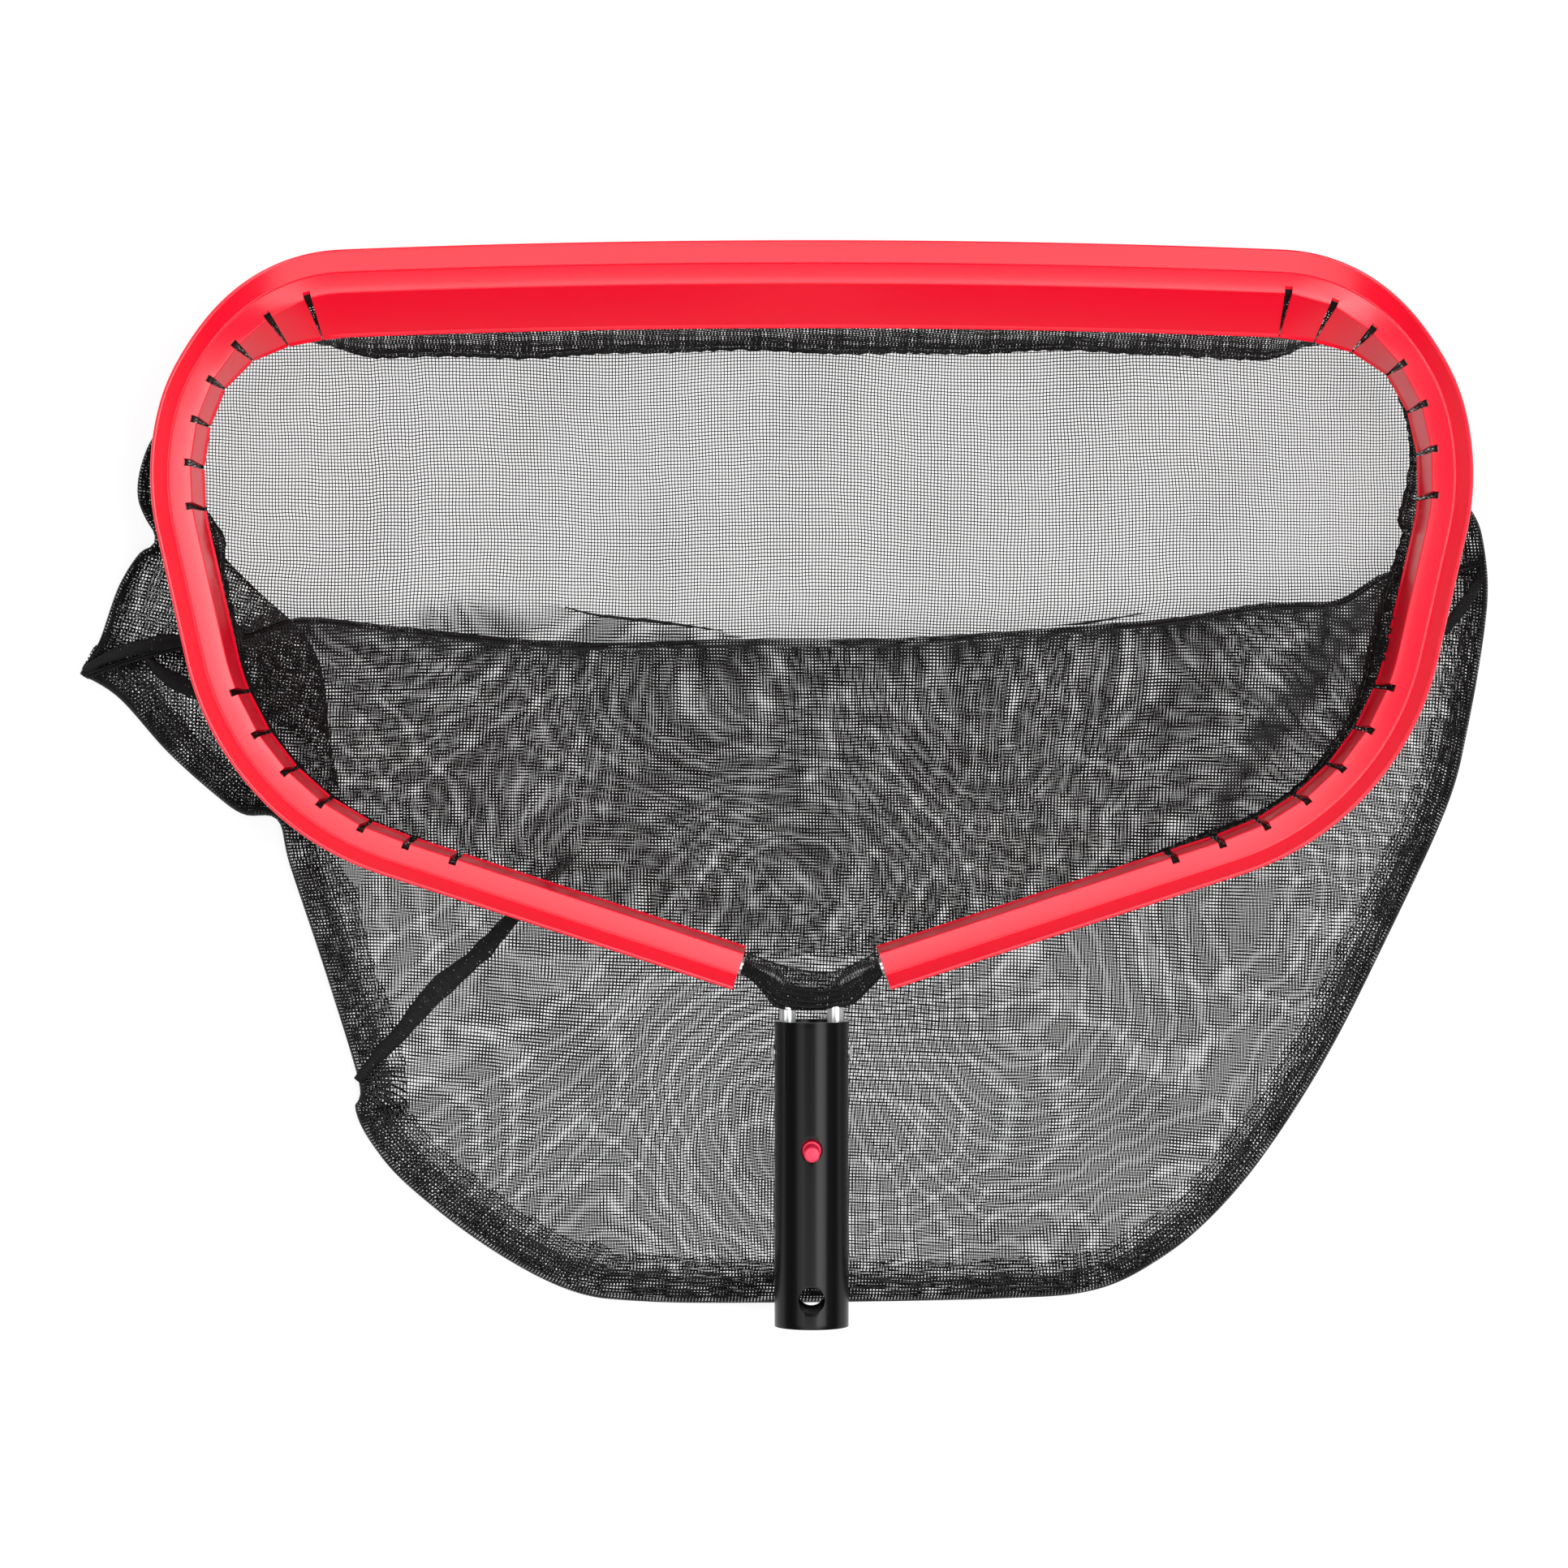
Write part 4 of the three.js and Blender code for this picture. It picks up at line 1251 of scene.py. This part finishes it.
def throat_sleeve():
    """The hem where it is bare between the arms, gathered in fine folds over the rod's bends."""
    top = smooth_line(SLEEVE_TOP, SLEEVE_STEP)
    foot = smooth_line(SLEEVE_FOOT, SLEEVE_STEP)
    verts, uv, dense = [], [], []
    for i in range(THROAT_COLUMNS + 1):
        share = i / THROAT_COLUMNS
        a = top[round(share * (len(top) - 1))]
        b = foot[round(share * (len(foot) - 1))]
        for j in range(THROAT_ROWS + 1):
            t = j / THROAT_ROWS
            x, y = a * (1 - t) + b * t
            arch = min(1, t / 0.16) ** 0.5
            fold = math.sin(t * 44 + 1.6 * math.sin(share * 8))
            gathers = 0.35 * fold * float(smooth(t, 0.4, 0.55))
            z = ROD_Z - 1.5 + 5.6 * arch - 1.0 * t**6 + gathers
            verts.append((x, y, z))
            uv.append((share * 66, t * 30 + 2 * math.sin(share * 8)))
            gathered = 0.36 + 0.2 * fold
            thick = gathered * float(smooth(t, 0.36, 0.5)) + 0.3 * (1 - float(smooth(t, 0.02, 0.07)))
            dense.append(max(0, thick) - 0.08 * (1 - float(smooth(t, 0.36, 0.5))))
    faces = ring_faces(THROAT_COLUMNS + 1, THROAT_ROWS + 1, closed=False)
    made = add_mesh("throat_sleeve", verts, faces, [HEM], uv=uv, dense=dense, crease=180)
    declare_sheet(made, None)


# ---------------------------------------------------------------- stitches

STITCH_LENGTH = 2.6
STITCH_PITCH = 3.6
STITCH_RADIUS = 0.22
STITCH_SIDES = 6


def stitch_row(points):
    """Capsules end to end along a line of points with heights."""
    verts, faces = [], []
    rings = [(-0.5, 0.35), (-0.38, 1.0), (0.38, 1.0), (0.5, 0.35)]
    line = smooth_line(points, STITCH_PITCH)
    for before, place, after in zip(line, line[1:], line[2:]):
        along = Vector(after - before).normalized()
        across = along.orthogonal().normalized()
        up = along.cross(across)
        base = len(verts)
        for share, size in rings:
            middle = Vector(place) + along * share * STITCH_LENGTH
            for k in range(STITCH_SIDES):
                angle = 2 * math.pi * k / STITCH_SIDES
                out = across * math.cos(angle) + up * math.sin(angle)
                verts.append(middle + out * size * STITCH_RADIUS)
        faces += [tuple(base + i for i in face) for face in ring_faces(len(rings), STITCH_SIDES)]
        faces.append(tuple(base + k for k in reversed(range(STITCH_SIDES))))
        faces.append(tuple(base + 3 * STITCH_SIDES + k for k in range(STITCH_SIDES)))
    return verts, faces


def stitches():
    """One row along the seam band's inner edge and one along the hem's foot."""
    seam = edge_line(BAG_EDGE, 16)
    seam_row = [(x, y, 7.0) for x, y in seam[3:-3]]
    places = np.linspace(-EDGED_LENGTH + 6, EDGED_LENGTH - 6, 240)
    hem_row = [tuple(beside_path(s, -hem_reach(s) + 1.6, 10.7)) for s in places]
    verts, faces = [], []
    for row in (seam_row, hem_row):
        row_verts, row_faces = stitch_row(row)
        faces += [tuple(len(verts) + i for i in face) for face in row_faces]
        verts += row_verts
    made = add_mesh("stitching", verts, faces, [SEWING], crease=60, closed=True)
    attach(made, "root")


# ---------------------------------------------------------------- stage, light and camera

CAMERA_ABOVE_ROD = 1650
CAMERA_X = -10.6
LENS = 98.55


FLOOR_SIZE = 4000
FLOOR_STEPS = 8


def add_floor():
    ticks = [FLOOR_SIZE * (i / FLOOR_STEPS - 0.5) for i in range(FLOOR_STEPS + 1)]
    verts = [(x, y, 0) for y in ticks for x in ticks]
    faces = ring_faces(len(ticks), len(ticks), closed=False)
    made = add_mesh("floor", verts, faces, [floor_material()])


def softbox(name, place, target, size, radiance):
    """An area light whose surface has the given radiance."""
    light = bpy.data.lights.new(name, "AREA")
    light.shape = "RECTANGLE"
    light.size, light.size_y = size
    light.energy = radiance * math.pi * size[0] * size[1]
    made = bpy.data.objects.new(name, light)
    made.location = place
    made.rotation_euler = (Vector(target) - Vector(place)).to_track_quat("-Z", "Y").to_euler()
    made.visible_camera = False
    bpy.context.scene.collection.objects.link(made)


def studio():
    world = bpy.data.worlds.new("studio")
    world.use_nodes = True
    background = world.node_tree.nodes["Background"]
    background.inputs[0].default_value = (1, 1, 1, 1)
    background.inputs[1].default_value = 0.12
    bpy.context.scene.world = world
    softbox("back_box", (0, 1.1, 1.75), (0, 0, 0), (2.2, 0.8), 3.0)
    softbox("right_box", (0.96, 0.05, 1.78), (0, 0, 0), (1.8, 1.05), 4.8)
    softbox("left_box", (-1.1, 0.05, 1.7), (0, 0, 0), (1.8, 0.8), 1.8)
    softbox("front_box", (0, -0.85, 1.75), (0, -0.1, 0), (2.0, 1.15), 2.0)


def add_camera():
    data = bpy.data.cameras.new("camera")
    data.sensor_width = 36
    data.lens = LENS
    data.clip_start, data.clip_end = 0.05, 20
    made = bpy.data.objects.new("camera", data)
    made.location = (CAMERA_X * MM, 0, (ROD_Z + CAMERA_ABOVE_ROD) * MM)
    bpy.context.scene.collection.objects.link(made)
    bpy.context.scene.camera = made


add_camera()
studio()
add_floor()
edging()
frame_rod()
handle_tube()
rivet("left_rivet", -1)
rivet("right_rivet", 1)
button("front_button", 1)
button("rear_button", -1)
plain_nodes()
net_front()
front_pleat()
net_back()
side_tuck()
pleats()
seams()
mouth_hem()
throat_sleeve()
stitches()
bpy.context.scene.view_settings.view_transform = "Standard"
